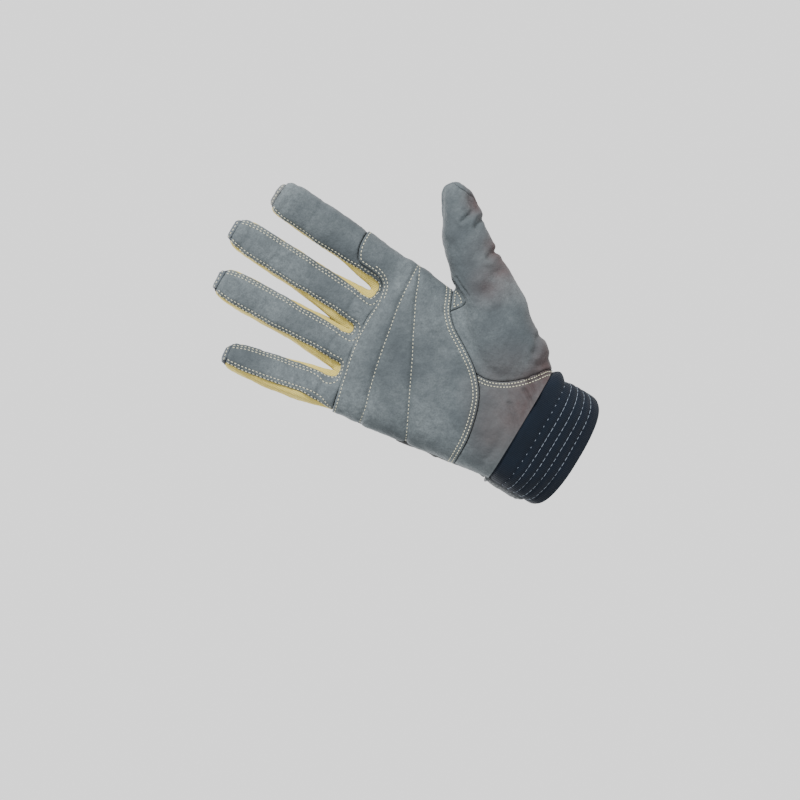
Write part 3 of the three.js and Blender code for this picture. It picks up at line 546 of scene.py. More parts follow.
def fields(v):
    """Every seam's field at the skin's vertices."""
    x, y, z = v.T
    out = {"p": v, "x": x, "y": y, "z": z}
    middles = []
    for a, b in zip(FINGERS[:-1], FINGERS[1:]):
        at = [g["x"] + math.tan(math.radians(g["lean"])) * (z - g["z"]) for g in (a, b)]
        middles.append((at[0] + at[1]) / 2)
    lane = sum((x < middle).astype(int) for middle in middles)
    s, u, w = np.zeros(len(v)), np.zeros(len(v)), np.zeros(len(v))
    for i, f in enumerate(FINGERS):
        root, along, across, back = finger_axes(f)
        mine = lane == i
        s[mine] = (v[mine] - root) @ along
        r = v[mine] - finger_middle(f, s[mine])
        u[mine], w[mine] = r @ across, r @ back
    length = np.array([f["length"] for f in FINGERS])[lane]
    finger_share = smooth(s, 3, 16)
    cup = cup_at(x, z / PALM_LENGTH)
    side = (1 - finger_share) * y + finger_share * (w - BACK_SEAM)
    outer = (x < -36) | ((lane == 3) & (u < 0))
    closing = np.where(outer, smooth(z, 88, 106), 1)
    flat = y + cup + STRIP_SEAM * closing - (1 - closing) * cup
    wrapped = np.zeros(len(v))
    for i, f in enumerate(FINGERS):
        mine = lane == i
        half_width, half_depth = finger_halves(f, s[mine])
        seam_w = -(STRIP_SEAM + 1.3 * (1 - smooth(s[mine], 0, 50))) * half_depth / (f["depth"] / 2)
        seam_w = seam_w * closing[mine]
        seam_u = half_width * (1 - np.abs(seam_w / half_depth) ** FINGER_POWER) ** (1 / FINGER_POWER)
        wrapped[mine] = (
            arc_from_front(u[mine], w[mine], half_width, half_depth)
            - arc_from_front(seam_u, seam_w, half_width, half_depth)
        )
    strip = (1 - finger_share) * flat + finger_share * wrapped
    out["lane"] = lane.astype(float)
    out["s"], out["u"], out["w"] = s, u, w
    out["tip"] = s - (length - TIP_WRAP)
    out["finger"] = np.where(z > 90, finger_share, 0)
    out["side"], out["strip"] = side, strip
    for name, line in (
        ("heel", HEEL_SEAM), ("thumb", THUMB_SEAM), ("gusset", GUSSET_SEAM), ("base", BASE_SEAM),
        ("edge", PANEL_EDGE), ("flank", PANEL_SIDE), ("knuckle", KNUCKLE_EDGE),
        ("thumb_back", THUMB_BACK_SEAM),
    ):
        out[name] = line_distance(x, z, plan_line(line))
    front_thumb = smallest(-out["heel"], out["thumb"], -out["gusset"])
    blend = smooth(y, -2, 2)
    out["on_thumb"] = front_thumb * (1 - blend) - out["thumb_back"] * blend
    across = np.array([math.cos(THUMB_LEAN), -math.sin(THUMB_LEAN)])
    far = (x - THUMB_ROOT[0]) * math.sin(THUMB_LEAN) + (z - THUMB_ROOT[1]) * math.cos(THUMB_LEAN)
    share = far / THUMB_LENGTH
    split = np.interp(share, [-0.6, 0.3, 0.7, 0.9, 1.2], [0.25, 0.2, 0.05, -0.1, -0.12]) * THUMB_DEPTH
    beyond = np.stack([x, z], -1) - thumb_middle(far)[:, [0, 2]]
    outside = smooth(beyond @ across, 0.5, 4) * smooth(share, 0.88, 0.915)
    out["split"] = y + THUMB_FORWARD * column(THUMB, 4, share) - split + 3.6 * outside
    out["index_side"] = x - middles[0]
    return out


def whole_skin():
    """The skin above the wrist, with every seam's field."""
    verts, tris = skin()
    values = fields(verts)
    values["n"] = normals_of(verts, tris)
    return Cloth(tris, values).cut(verts[:, 2])


whole = whole_skin()


# Reliefs over the skin
def groove(distance, depth, half_width):
    return -depth * np.exp(-(distance / half_width) ** 2)


def edge_roll(field, radius, drop):
    """A rounded border: the face sinks towards the edge."""
    t = np.clip(field / radius, 0, 1)
    return -drop * (1 - np.sqrt(np.clip(1 - (1 - t) ** 2, 0, 1)))


def crease_relief(c, creases):
    total = np.zeros(len(c["x"]))
    for points, depth, half in creases:
        d = np.abs(line_distance(c["x"], c["z"], spline(points, 2), extend=False))
        total += groove(d, depth, half) + 0.35 * depth * np.exp(-((d - 2.2 * half) / half) ** 2)
    return total


def leather_relief(p, seed, strength=1.0):
    soft = 0.24 * waves(p * [1, 0.6, 1], 17, 11 + seed)
    fold = waves(p * [1, 0.5, 0.6], 7, 12 + seed)
    fine = waves(p, 2.8, 13 + seed)
    wrinkles = groove(waves(p * [0.8, 0.5, 1.1], 11, 14 + seed), 0.2, 0.16) * smooth(fold, -0.6, 1.2)
    return strength * (soft + 0.12 * fold + 0.06 * fine + wrinkles)


def rows_relief(field, rows, depth, half=0.75):
    return sum(groove(field - row, depth, half) for row in rows)


def on_finger(c, index):
    return np.abs(c["lane"] - index) < 0.5


def finger_creases(c):
    """Soft folds across the front of each finger at its joints."""
    total = np.zeros(len(c["s"]))
    for i, f in enumerate(FINGERS):
        for share, depth in FINGER_FOLDS:
            wobble = 0.8 * np.sin(c["u"] * 0.35 + 5 * share + i)
            fold = groove(c["s"] - share * f["length"] - wobble, depth, 1.6)
            total += np.where(on_finger(c, i), fold, 0)
    return total


FACES = {}  # each piece's outer face, which stitches are laid on


def shell(name, cloth, height, thickness, relief):
    """A closed piece: the face with its relief, a back face and walls between them."""
    c = cloth.values
    height = np.broadcast_to(height, relief.shape)
    face = c["p"] + c["n"] * (height + relief)[:, None]
    inner = c["p"] + c["n"] * (height - thickness)[:, None]
    t = cloth.tris
    sides = sides_of(t)
    _, index, counts = np.unique(np.sort(sides, axis=1), axis=0, return_index=True, return_counts=True)
    rim = sides[index[counts == 1]]
    n = len(face)
    walls = np.vstack([
        np.column_stack([rim[:, 1], rim[:, 0], rim[:, 0] + n]),
        np.column_stack([rim[:, 1], rim[:, 0] + n, rim[:, 1] + n]),
    ])
    FACES[name] = (face, normals_of(face, t), t, c)
    return np.vstack([face, inner]), np.vstack([t, t[:, ::-1] + n, walls])


# Materials
LIGHT = 0.64  # the colours' share that the bright surroundings leave


def srgb(r, g, b):
    """A screen colour as a shader takes it, darkened for the bright light."""
    def line(v):
        v /= 255
        return LIGHT * (v / 12.92 if v <= 0.04045 else ((v + 0.055) / 1.055) ** 2.4)
    return (line(r), line(g), line(b), 1.0)


class Nodes:
    """A short way to write a material's nodes."""

    def __init__(self, name, roughness=0.8, sheen=0.0):
        self.material = bpy.data.materials.new(name)
        self.material.use_nodes = True
        self.tree = self.material.node_tree
        self.shader = self.tree.nodes["Principled BSDF"]
        self.shader.inputs["Roughness"].default_value = roughness
        self.shader.inputs["Sheen Weight"].default_value = sheen
        self.shader.inputs["Specular IOR Level"].default_value = 0.18
        self.place = self.tree.nodes.new("ShaderNodeTexCoord").outputs["Object"]

    def node(self, kind, links, **settings):
        made = self.tree.nodes.new("ShaderNode" + kind)
        for key, value in settings.items():
            setattr(made, key, value)
        for name, value in links.items():
            self.feed(made.inputs[name], value)
        return made

    def feed(self, socket, value):
        if isinstance(value, bpy.types.NodeSocket):
            self.tree.links.new(value, socket)
        else:
            socket.default_value = value

    def noise(self, scale, detail, rough=0.5):
        links = {"Vector": self.place, "Scale": scale, "Detail": detail, "Roughness": rough}
        return self.node("TexNoise", links).outputs["Fac"]

    def cells(self, scale):
        return self.node("TexVoronoi", {"Vector": self.place, "Scale": scale}).outputs["Distance"]

    def bands(self, scale, distortion, direction):
        links = {"Vector": self.place, "Scale": scale, "Distortion": distortion}
        return self.node("TexWave", links, wave_type="BANDS", bands_direction=direction).outputs["Fac"]

    def times(self, a, b):
        return self.node("Math", {0: a, 1: b}, operation="MULTIPLY").outputs[0]

    def ranged(self, value, low, high, to_low=0.0, to_high=1.0):
        return self.node("MapRange", {
            "Value": value, "From Min": low, "From Max": high, "To Min": to_low, "To Max": to_high,
        }).outputs["Result"]

    def mix(self, share, a, b):
        """Two colours mixed; 6 and 7 are the colour inputs and 2 the colour output."""
        return self.node("Mix", {0: share, 6: a, 7: b}, data_type="RGBA").outputs[2]

    def near(self, place, inner, outer):
        """One near a place in the part's frame, in metres, and zero away from it."""
        apart = self.node("VectorMath", {0: self.place, 1: place}, operation="DISTANCE").outputs["Value"]
        return self.ranged(apart, inner, outer, 1.0, 0.0)

    def bump(self, layers):
        """Heights in metres, laid over each other."""
        normal = None
        for height, distance in layers:
            links = {"Height": height, "Distance": distance, "Strength": 1.0}
            if normal is not None:
                links["Normal"] = normal
            normal = self.node("Bump", links).outputs["Normal"]
        self.tree.links.new(normal, self.shader.inputs["Normal"])

    def colour(self, value):
        self.feed(self.shader.inputs["Base Color"], value)
        return self.material


def leather(name, base, light, dark, stains=()):
    m = Nodes(name, roughness=0.85, sheen=0.06)
    broad = m.noise(26, 3.0)
    colour = m.mix(m.ranged(broad, 0.36, 0.64), dark, light)
    patch = m.noise(110, 5.0, rough=0.65)
    colour = m.mix(m.ranged(patch, 0.3, 0.7, 0.0, 0.45), colour, base)
    cloud = m.noise(330, 4.0, rough=0.6)
    colour = m.mix(m.ranged(cloud, 0.38, 0.68, 0.0, 0.5), colour, dark)
    grain = m.noise(1100, 3.0, rough=0.65)
    colour = m.mix(m.ranged(grain, 0.35, 0.7, 0.0, 0.5), colour, dark)
    # Spots tinted darker and warmer near given places; on the palm leather they are painted shade with a warm
    # painted reflection.
    for place, inner, outer, tint, share in stains:
        mask = m.times(m.near(place, inner, outer), m.ranged(patch, 0.2, 0.65, 0.5, 1.0))
        colour = m.mix(m.times(mask, share), colour, tint)
    m.bump([(m.cells(620), 0.00012), (grain, 0.00022), (m.noise(260, 3.0), 0.0003)])
    return m.colour(colour)


def knit(name, base, light, pitch, depth):
    """Fine knit: ribs along the hand with small loops across them."""
    m = Nodes(name, roughness=0.9, sheen=0.04)
    weave = m.times(m.bands(0.314 / pitch, 0.0, "X"), m.bands(0.45 / pitch, 1.5, "Z"))
    colour = m.mix(m.ranged(weave, 0.0, 0.8), base, light)
    worn = m.noise(60, 3.0)
    colour = m.mix(m.ranged(worn, 0.4, 0.75, 0.0, 0.3), colour, light)
    m.bump([(weave, depth), (m.noise(2200, 2.0), 0.00008)])
    return m.colour(colour)


# Painted shade with a warm painted reflection: the palm leather's spots below darken the thumb's shaded side,
# its creases and the heel.
PAINTED_WARM_SHADE = srgb(88, 78, 77)
PAINTED_BROWN_SHADE = srgb(68, 40, 38)
GREY = leather(
    "palm_grey", srgb(99, 107, 111), srgb(120, 129, 132), srgb(68, 75, 79),
    [
        ((0.012, -0.03, 0.040), 0.004, 0.034, PAINTED_WARM_SHADE, 0.6),
        ((-0.014, -0.03, 0.036), 0.003, 0.022, PAINTED_WARM_SHADE, 0.45),
        ((0.076, -0.02, 0.080), 0.003, 0.030, PAINTED_WARM_SHADE, 0.55),
        ((0.095, -0.02, 0.114), 0.002, 0.013, PAINTED_BROWN_SHADE, 0.85),
        ((0.078, -0.02, 0.091), 0.002, 0.012, PAINTED_BROWN_SHADE, 0.8),
        ((0.070, -0.02, 0.081), 0.002, 0.012, PAINTED_BROWN_SHADE, 0.7),
        ((0.0565, -0.028, 0.083), 0.002, 0.015, PAINTED_BROWN_SHADE, 0.4),
        ((0.040, -0.02, 0.032), 0.002, 0.016, PAINTED_BROWN_SHADE, 0.85),
        ((0.055, -0.01, 0.045), 0.004, 0.022, PAINTED_WARM_SHADE, 0.65),
        ((0.030, -0.025, 0.030), 0.002, 0.014, PAINTED_BROWN_SHADE, 0.65),
        ((0.018, -0.03, 0.032), 0.002, 0.014, PAINTED_BROWN_SHADE, 0.55),
        ((0.003, -0.03, 0.031), 0.002, 0.013, PAINTED_BROWN_SHADE, 0.45),
    ],
)
BACK_TINT = srgb(96, 84, 80)
BACK_GREY = leather(
    "back_grey", srgb(104, 108, 110), srgb(124, 128, 129), srgb(76, 79, 82),
    [
        ((0.0, 0.015, 0.062), 0.004, 0.024, BACK_TINT, 0.55),
        ((-0.034, 0.005, 0.072), 0.006, 0.028, BACK_TINT, 0.5),
        ((0.024, 0.01, 0.068), 0.004, 0.020, BACK_TINT, 0.35),
        ((-0.005, 0.015, 0.033), 0.004, 0.020, BACK_TINT, 0.25),
    ],
)
KNUCKLE_GREY = leather("knuckle_grey", srgb(96, 104, 110), srgb(114, 122, 128), srgb(70, 77, 83))
YELLOW = knit("aramid_yellow", srgb(204, 180, 84), srgb(238, 226, 140), 0.0009, 0.0002)
NAVY = knit("stretch_navy", srgb(8, 14, 27), srgb(18, 29, 48), 0.0008, 0.0002)
CUFF_NAVY = knit("cuff_navy", srgb(3, 13, 25), srgb(11, 28, 46), 0.0010, 0.0003)


def plain(name, colour, roughness, bumps=()):
    m = Nodes(name, roughness)
    if bumps:
        m.bump([(m.noise(scale, 3.0), depth) for scale, depth in bumps])
    return m.colour(colour)


THREAD_BUMPS = [(3000, 0.0001)]
THREAD = plain("thread_cream", srgb(216, 214, 186), 0.7, THREAD_BUMPS)
DARK_THREAD = plain("thread_dark", srgb(52, 55, 60), 0.7, THREAD_BUMPS)
WHITE_THREAD = plain("thread_white", srgb(158, 170, 184), 0.7, THREAD_BUMPS)
BRIGHT_THREAD = plain("thread_bright", srgb(222, 228, 236), 0.7, THREAD_BUMPS)
# Painted shade: dark marks laid between the stitches where the stitch holes sink into shadow.
PAINTED_HOLE_SHADE = plain("hole_dark", srgb(44, 50, 54), 0.9)
LOOP_BLUE = knit("loop_blue", srgb(8, 32, 84), srgb(26, 66, 130), 0.0014, 0.0006)
BLACK = plain("badge_black", srgb(7, 8, 10), 0.5, [(900, 0.00006)])
RED = plain("badge_red", srgb(150, 12, 10), 0.5, [(900, 0.00006)])


def piece(name, verts, faces, material, slot, nodes=(), sharp=50):
    name = name if name.startswith(("stitches", "cuff_threads")) else name + "_look"
    mesh = raw_mesh(name, (verts + SHIFT) / 1000, faces)
    mesh.polygons.foreach_set("use_smooth", np.ones(len(mesh.polygons), bool))
    if sharp:
        mesh.set_sharp_from_angle(angle=math.radians(sharp))
    mesh.materials.append(material)
    made = placed(name, mesh)
    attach(made, "root")
    if nodes:
        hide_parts(*nodes)


def finer(cloth, chosen):
    """The chosen triangles split in four, and their neighbours split to match."""
    t, n = cloth.tris, len(cloth.values["s"])
    keys, where = np.unique(np.sort(sides_of(t), axis=1), axis=0, return_inverse=True)
    where = where.ravel().reshape(3, -1).T
    split = np.zeros(len(keys), bool)
    split[where[chosen].ravel()] = True
    middle = np.cumsum(split) - 1 + n
    marked = split[where]
    count = marked.sum(1)

    def turned(wanted, first):
        rows = np.flatnonzero(count == wanted)
        order = (first[rows][:, None] + np.arange(3)) % 3
        corners = t[rows[:, None], order].T
        return *corners, *middle[where[rows[:, None], order]].T

    tris = [t[count == 0]]
    a, b, c, ab, bc, ca = turned(3, np.zeros(len(t), int))
    tris += [np.column_stack(x) for x in ((a, ab, ca), (ab, b, bc), (ca, bc, c), (ab, bc, ca))]
    a, b, c, ab, bc, ca = turned(1, np.argmax(marked, axis=1))
    tris += [np.column_stack(x) for x in ((a, ab, c), (ab, b, c))]
    a, b, c, ab, bc, ca = turned(2, (np.argmin(marked, axis=1) + 1) % 3)
    tris += [np.column_stack(x) for x in ((ab, b, bc), (a, ab, bc), (a, bc, c))]
    halves = keys[split]
    values = {k: np.concatenate([v, v[halves].mean(1)]) for k, v in cloth.values.items()}
    return Cloth(np.vstack(tris), values)


PALM_LOOK = (GREY, "palm_leather")
ARAMID_LOOK = (YELLOW, "aramid_cloth")
FABRIC_LOOK = (NAVY, "stretch_cloth")
BACK_LOOK = (BACK_GREY, "back_leather")
KNUCKLE_LOOK = (KNUCKLE_GREY, "back_leather")
# How wide and how deep a piece's border is rounded
LEATHER_BORDER = (1.3, 0.9)
THUMB_BORDER = (1.1, 0.6)
FINGER_BORDER = (1.0, 0.8)
CLOTH_BORDER = (0.6, 0.3)
PLATE_BORDER = (0.8, 0.7)
BADGE_BORDER = (0.7, 0.6)
CUT_MARGIN = 0.01  # keeps a plate's cut inside its grid


def solid(name, cloth, field, height, thickness, relief, look, border, replaced=True):
    """A cut cloth made a closed piece, with its relief and its rounded border."""
    c = cloth.values
    c["field"] = field
    level = height(c) if callable(height) else height
    shape = relief(c) + edge_roll(field, *border)
    piece(name, *shell(name, cloth, level, thickness, shape), *look, [name] if replaced else [])


def panel(name, region, height, thickness, relief, look, border, fine=None):
    """Cuts a piece out of the skin where every field of a region is above zero."""
    field = region(whole.values) - SEAM
    cloth = whole.cut(field)
    if fine:
        cloth = finer(cloth, fine(cloth.values["p"][cloth.tris].mean(1)))
    solid(name, cloth, region(cloth.values) - SEAM, height, thickness, relief, look, border)


# The leather and fabric pieces
def quilt_field(c, line):
    return line_distance(c["x"], c["z"], spline(line, 2))


def palm_relief(c):
    total = leather_relief(c["p"], 0) + rows_relief(c["heel"], HEEL_ROWS, 0.36)
    total += rows_relief(-c["base"], BASE_ROWS[:1], 0.35)
    puff = np.zeros(len(c["x"]))
    for line in QUILT_LINES:
        d = quilt_field(c, line)
        total += groove(d, 1.1, 1.2) * (1 - smooth(c["x"], 40, 46))
        puff += 0.35 * np.exp(-((np.abs(d) - 5) / 3.5) ** 2)
    return total + puff + crease_relief(c, PALM_CREASES)


def heel_relief(c):
    creases = crease_relief(c, HEEL_CREASES) * (0.25 + 0.75 * smooth(c["z"], 0.5, 3.5))
    return leather_relief(c["p"], 3) + rows_relief(-c["thumb"], THUMB_ROWS, 0.36) + creases


def gusset_relief(c):
    return leather_relief(c["p"], 4)


def thumb_relief(c):
    rows = rows_relief(c["split"], (-1.6,), 0.25)
    return leather_relief(c["p"], 5) + crease_relief(c, THUMB_CREASES) + rows


def sewn(c):
    """How far a place is from a finger's seam, less on the side that turns away from the front."""
    return -c["strip"] - 1.6 * smooth(c["u"], -1, 3) * smooth(c["s"], 4, 22)


def finger_relief(c):
    total = leather_relief(c["p"], 7, 0.8) + finger_creases(c)
    total += rows_relief(sewn(c), FINGER_ROWS, 0.34, 0.6) * smooth(c["s"], -6, 2)
    return total + rows_relief(-c["tip"], (1.2,), 0.3, 0.6) * c["finger"]


def cloth_relief(c):
    return 0.18 * waves(c["p"] * [1, 1, 0.5], 8, 21) + 0.06 * waves(c["p"], 3, 22)


def bulge(c):
    """How far the fabric between two fingers stands out from the skin, most at its foot."""
    out = np.full(len(c["s"]), FABRIC_HEIGHT)
    shown = smooth(c["strip"], 0.3, 3) * (1 - smooth(c["w"], 0.5, 3.5))
    for index, (near, following, reach) in enumerate(BULGES):
        above = c["z"] - CROTCHES[index]
        first = on_finger(c, index) & (c["u"] < 0)
        second = on_finger(c, index + 1) & (c["u"] > 0)
        own = np.where(first, near, following) * (1 - smooth(above, -4, reach)) * smooth(above, -8, 0)
        out = np.where(first | second, out + own * shown, out)
    outer = on_finger(c, 3) & (c["u"] < 0)
    own = LITTLE_BULGE * smooth(c["z"], 96, 122) * (1 - smooth(c["z"], 132, 160))
    return np.where(outer, out + own * shown, out)


def finger_region(c):
    return smallest(-c["strip"], c["base"], -c["tip"], -c["index_side"], -c["on_thumb"])


def index_region(c):
    share = smooth(c["u"], -3, 3)
    across = -c["strip"] * (1 - share) - c["side"] * share
    return smallest(across, c["base"], -c["tip"], c["index_side"] + 1.6, -c["on_thumb"])


def aramid_region(c):
    share = np.where(on_finger(c, 0), smooth(c["u"], -3, 3), 0)
    return smallest(c["strip"], -c["side"], -c["tip"]) - 8 * share


def fourchette_region(index):
    def region(c):
        following = np.where(on_finger(c, index + 1), c["u"], OUTSIDE)
        own = np.where(on_finger(c, index), -c["u"], following)
        high = c["z"] - (CROTCHES[index] - 8)
        return smallest(aramid_region(c), own, high, -c["on_thumb"])
    return region


def little_side_region(c):
    own = np.where(on_finger(c, 3), -c["u"], OUTSIDE)
    return smallest(aramid_region(c), own, c["base"], c["z"] - ARAMID_FOOT)


def palm_region(c):
    aramid = np.where(c["z"] > ARAMID_FOOT, aramid_region(c), OUTSIDE)
    index_side = np.where(on_finger(c, 0) & (c["z"] > INDEX_FOOT), -c["strip"], INSIDE)
    share = smooth(c["u"], -3, 3)
    keep = np.where(on_finger(c, 0), index_side * (1 - share) + INSIDE * share, INSIDE)
    return smallest(-c["side"], c["heel"], -c["base"], -aramid, keep)


def heel_region(c):
    return smallest(-c["side"], -c["heel"], -c["thumb"])


def gusset_region(c):
    return smallest(-c["side"], -c["heel"], c["gusset"], c["thumb"])


def thumb_front_region(c):
    return smallest(c["on_thumb"], -c["split"])


def thumb_back_region(c):
    return smallest(c["on_thumb"], c["split"])


def back_region(c):
    tip = np.where(c["finger"] > 0.5, c["tip"], FAR_OUTSIDE)
    return smallest(np.maximum(c["side"], tip), -c["on_thumb"])


def near_edge(field, height, reach):
    return height * np.exp(-np.clip(field, 0, None) / reach)


def palm_height(c):
    return near_edge(c["heel"], 0.35, 7) + near_edge(-c["base"], 0.5, 6)


def heel_height(c):
    return -near_edge(-c["heel"], 0.45, 5)


def thumb_height(c):
    return -near_edge(c["on_thumb"], 0.45, 5)


def finger_height(c):
    return -near_edge(c["base"], 0.85, 3)


def index_height(c):
    return finger_height(c) - 0.5 * (1 - smooth(c["index_side"], 0, 1.5))


def overlay_height(c):
    return OVERLAY_HEIGHT - 0.55 * smooth(c["tip"], -3, 1.5)


FOURCHETTES = ("index_middle", "middle_ring", "ring_little")
# Name, region, height over the skin, thickness, relief, look, border
for row in (
    ("palm_panel", palm_region, palm_height, 1.6, palm_relief, PALM_LOOK, LEATHER_BORDER),
    ("heel_panel", heel_region, heel_height, 1.5, heel_relief, PALM_LOOK, LEATHER_BORDER),
    ("thumb_gusset", gusset_region, -0.3, 1.3, gusset_relief, PALM_LOOK, LEATHER_BORDER),
    ("thumb_front", thumb_front_region, thumb_height, 1.6, thumb_relief, PALM_LOOK, THUMB_BORDER),
    ("thumb_back", thumb_back_region, 0.0, 1.6, thumb_relief, PALM_LOOK, THUMB_BORDER),
    ("finger_panel", finger_region, finger_height, 1.4, finger_relief, PALM_LOOK, FINGER_BORDER),
    ("index_front", index_region, index_height, 1.4, finger_relief, PALM_LOOK, FINGER_BORDER),
    *(("fourchette_" + between, fourchette_region(index), bulge, 1.1, cloth_relief, ARAMID_LOOK, CLOTH_BORDER)
      for index, between in enumerate(FOURCHETTES)),
    ("little_side_gusset", little_side_region, bulge, 1.1, cloth_relief, ARAMID_LOOK, CLOTH_BORDER),
    ("back_fabric", back_region, FABRIC_HEIGHT, 1.1, cloth_relief, FABRIC_LOOK, CLOTH_BORDER),
):
    panel(*row)


# Leather over the fabric of the back
def strap_field(c, index, start):
    f = FINGERS[index]
    across = f["strap"] / 2 - np.abs(c["u"])
    over = np.maximum(c["w"] - BACK_SEAM - 1, np.minimum(c["tip"] + 0.4, c["s"] - 20))
    mine = np.where(on_finger(c, index), INSIDE, FAR_OUTSIDE)
    return smallest(across, over, mine, c["s"] - start)


def on_back(c, margin):
    """Above zero on the hand's back, and all round the fingers."""
    return either(c["side"] - margin, c["finger"] * 30 - 9)


def panel_border(c):
    return smallest(np.maximum(100 - c["z"], strap_field(c, 0, -20)), -c["edge"], c["flank"])


def panel_foot(c):
    """How far above its wavy lower edge the back's leather is."""
    x = c["x"]
    level = np.interp(x, *BACK_FOOT)
    return c["z"] - level - 0.3 * np.sin(x * 0.6) * smooth(x, -40, -30) * (1 - smooth(x, 8, 16)) + 0.3


def panel_region(c):
    return smallest(panel_border(c), panel_foot(c), on_back(c, 0.3), -c["on_thumb"] - 0.3)


def under_notches(c):
    """How far a place is below the notches between the straps."""
    ring = FINGERS[2]["x"]
    return NOTCH_TOP + NOTCH_RISE * smooth(c["x"], ring - 5, ring + 5) - c["z"]


def knuckle_border(c):
    out = under_notches(c)
    for index in (1, 2, 3):
        out = either(out, strap_field(c, index, -26), 5.0)
    return np.minimum(out, c["knuckle"])


def knuckle_region(c):
    return smallest(knuckle_border(c), on_back(c, 1))


def gather_relief(p):
    """Staggered puffs pinched by elastic, with pleats that run out above and below."""
    x, z = p[:, 0], p[:, 2]
    pitch = (GATHER_RIGHT - GATHER_LEFT) / GATHER_COUNT
    wander = 0.5 * np.sin(x * 0.21 + 1) + 0.35 * np.sin(x * 0.67)
    phase = (x - GATHER_LEFT + 0.3 * wander) / pitch
    level = (z - DIAMOND_MIDDLE - 0.5 * wander) / DIAMOND_HEIGHT
    left, right = smooth(x, GATHER_LEFT - 2, GATHER_LEFT + 5), smooth(x, GATHER_RIGHT - 5, GATHER_RIGHT + 2)
    foot, top = smooth(z, GATHER_LOW - 0.5, GATHER_LOW + 1.5), smooth(z, GATHER_HIGH - 1.5, GATHER_HIGH + 0.8)
    up, down = np.abs(np.sin(math.pi * (phase + level))), np.abs(np.sin(math.pi * (phase - level)))
    puffs = 2.2 * np.minimum(up, down) ** 0.6 - 0.8
    lean = np.clip(GATHER_LOW - z, 0, None) * (0.2 + 0.02 * np.clip(x + 25, 0, 30))
    slow = phase + 0.15 * np.sin(z * 0.3 + x * 0.1) - lean / pitch
    pleats = 2.0 * np.abs(np.sin(math.pi * slow)) ** 0.8 - 1.2 + 0.7 * np.sin(math.pi * slow * 0.5 + 0.7)
    below = smooth(z, 1, 13) * (1 - foot)
    creases = 1.1 * np.abs(np.sin(math.pi * (phase + 0.12 * np.sin(z * 0.5)))) - 0.6
    above = np.exp(-np.clip(z - GATHER_HIGH, 0, None) / 3.5) * top
    return left * (1 - right) * (puffs * foot * (1 - top) + pleats * below + creases * above)


def gathered(p):
    """Where the gathers need a finer mesh."""
    inside = (p[:, 0] > GATHER_LEFT - 4) & (p[:, 0] < GATHER_RIGHT + 8) & (p[:, 1] > 0)
    return inside & (p[:, 2] > 1) & (p[:, 2] < GATHER_HIGH + 6)


def panel_relief(c):
    """The back leather's relief, less deep where its gathers and rows of stitches meet."""
    p = c["p"]
    total = leather_relief(p, 31) + gather_relief(p) + rows_relief(panel_border(c), BACK_ROWS, 0.36, 0.65)
    total += crease_relief(c, BACK_CREASES)
    return np.where(total < -0.8, 0.45 * total - 0.44, total)


def knuckle_relief(c):
    return leather_relief(c["p"], 41) + rows_relief(knuckle_border(c), BACK_ROWS, 0.36, 0.65)


panel("back_panel", panel_region, overlay_height, 1.5, panel_relief, BACK_LOOK, LEATHER_BORDER, fine=gathered)
panel("knuckle_panel", knuckle_region, overlay_height, 1.4, knuckle_relief, KNUCKLE_LOOK, LEATHER_BORDER)


# Cuff
def bent(p):
    """Bends what is below the wrist backwards, round an axis behind the hand."""
    turn = np.clip(-p[:, 2], 0, None) / CUFF_RADIUS
    behind = CUFF_RADIUS - p[:, 1]
    y = np.where(p[:, 2] < 0, CUFF_RADIUS - behind * np.cos(turn), p[:, 1])
    z = np.where(p[:, 2] < 0, -behind * np.sin(turn), p[:, 2])
    return np.column_stack([p[:, 0], y, z])


def cuff_points(turn, z, offset):
    """Points of the cuff at turns and heights, which the back's slack stretches, with an offset outwards."""
    half_width, front, back = hand_section(0.0)
    x, y = rounded(turn, half_width + offset, front + offset, back + offset, HAND_POWER)
    slack = CUFF_SLACK / CUFF_LENGTH * np.clip(np.sin(turn), 0, None) ** 1.5
    return bent(np.column_stack([HAND_CENTRE + x, y, z * (1 + slack)]))


def even_turns(count):
    """Turns that lie evenly round the cuff's section."""
    fine = np.linspace(0, 2 * math.pi, 4001)
    x, y = rounded(fine, WRIST_WIDTH / 2, WRIST_DEPTH / 2, WRIST_DEPTH / 2, HAND_POWER)
    along = run_of(np.column_stack([x, y]))
    return np.interp(np.linspace(0, along[-1], count, endpoint=False), along, fine)


def cuff_relief(turn, z):
    total = 0.25 * np.sin(turn * 3 + 1) * np.sin(z * 0.11) + 0.2 * np.sin(turn * 7 + z * 0.2)
    for line in ELASTIC_LINES:
        total = total + groove(z - line, 0.6, 0.9)
        total = total + 0.12 * np.sin(turn * 85 + line) * np.exp(-((z - line) / 1.5) ** 2)
    total = total + groove(z + 0.6, 0.5, 0.9)
    thumb_side = np.clip(np.cos(turn), 0, 1) ** 5
    total = total + thumb_side * (groove(z + 4.3, -2.4, 2.6) + groove(z + 9.2, 0.9, 1.8))
    squeeze = np.clip(np.sin(turn), 0, None) ** 2
    return total + squeeze * 0.7 * np.sin(z * 0.8 + 0.6 * np.sin(turn * 5))


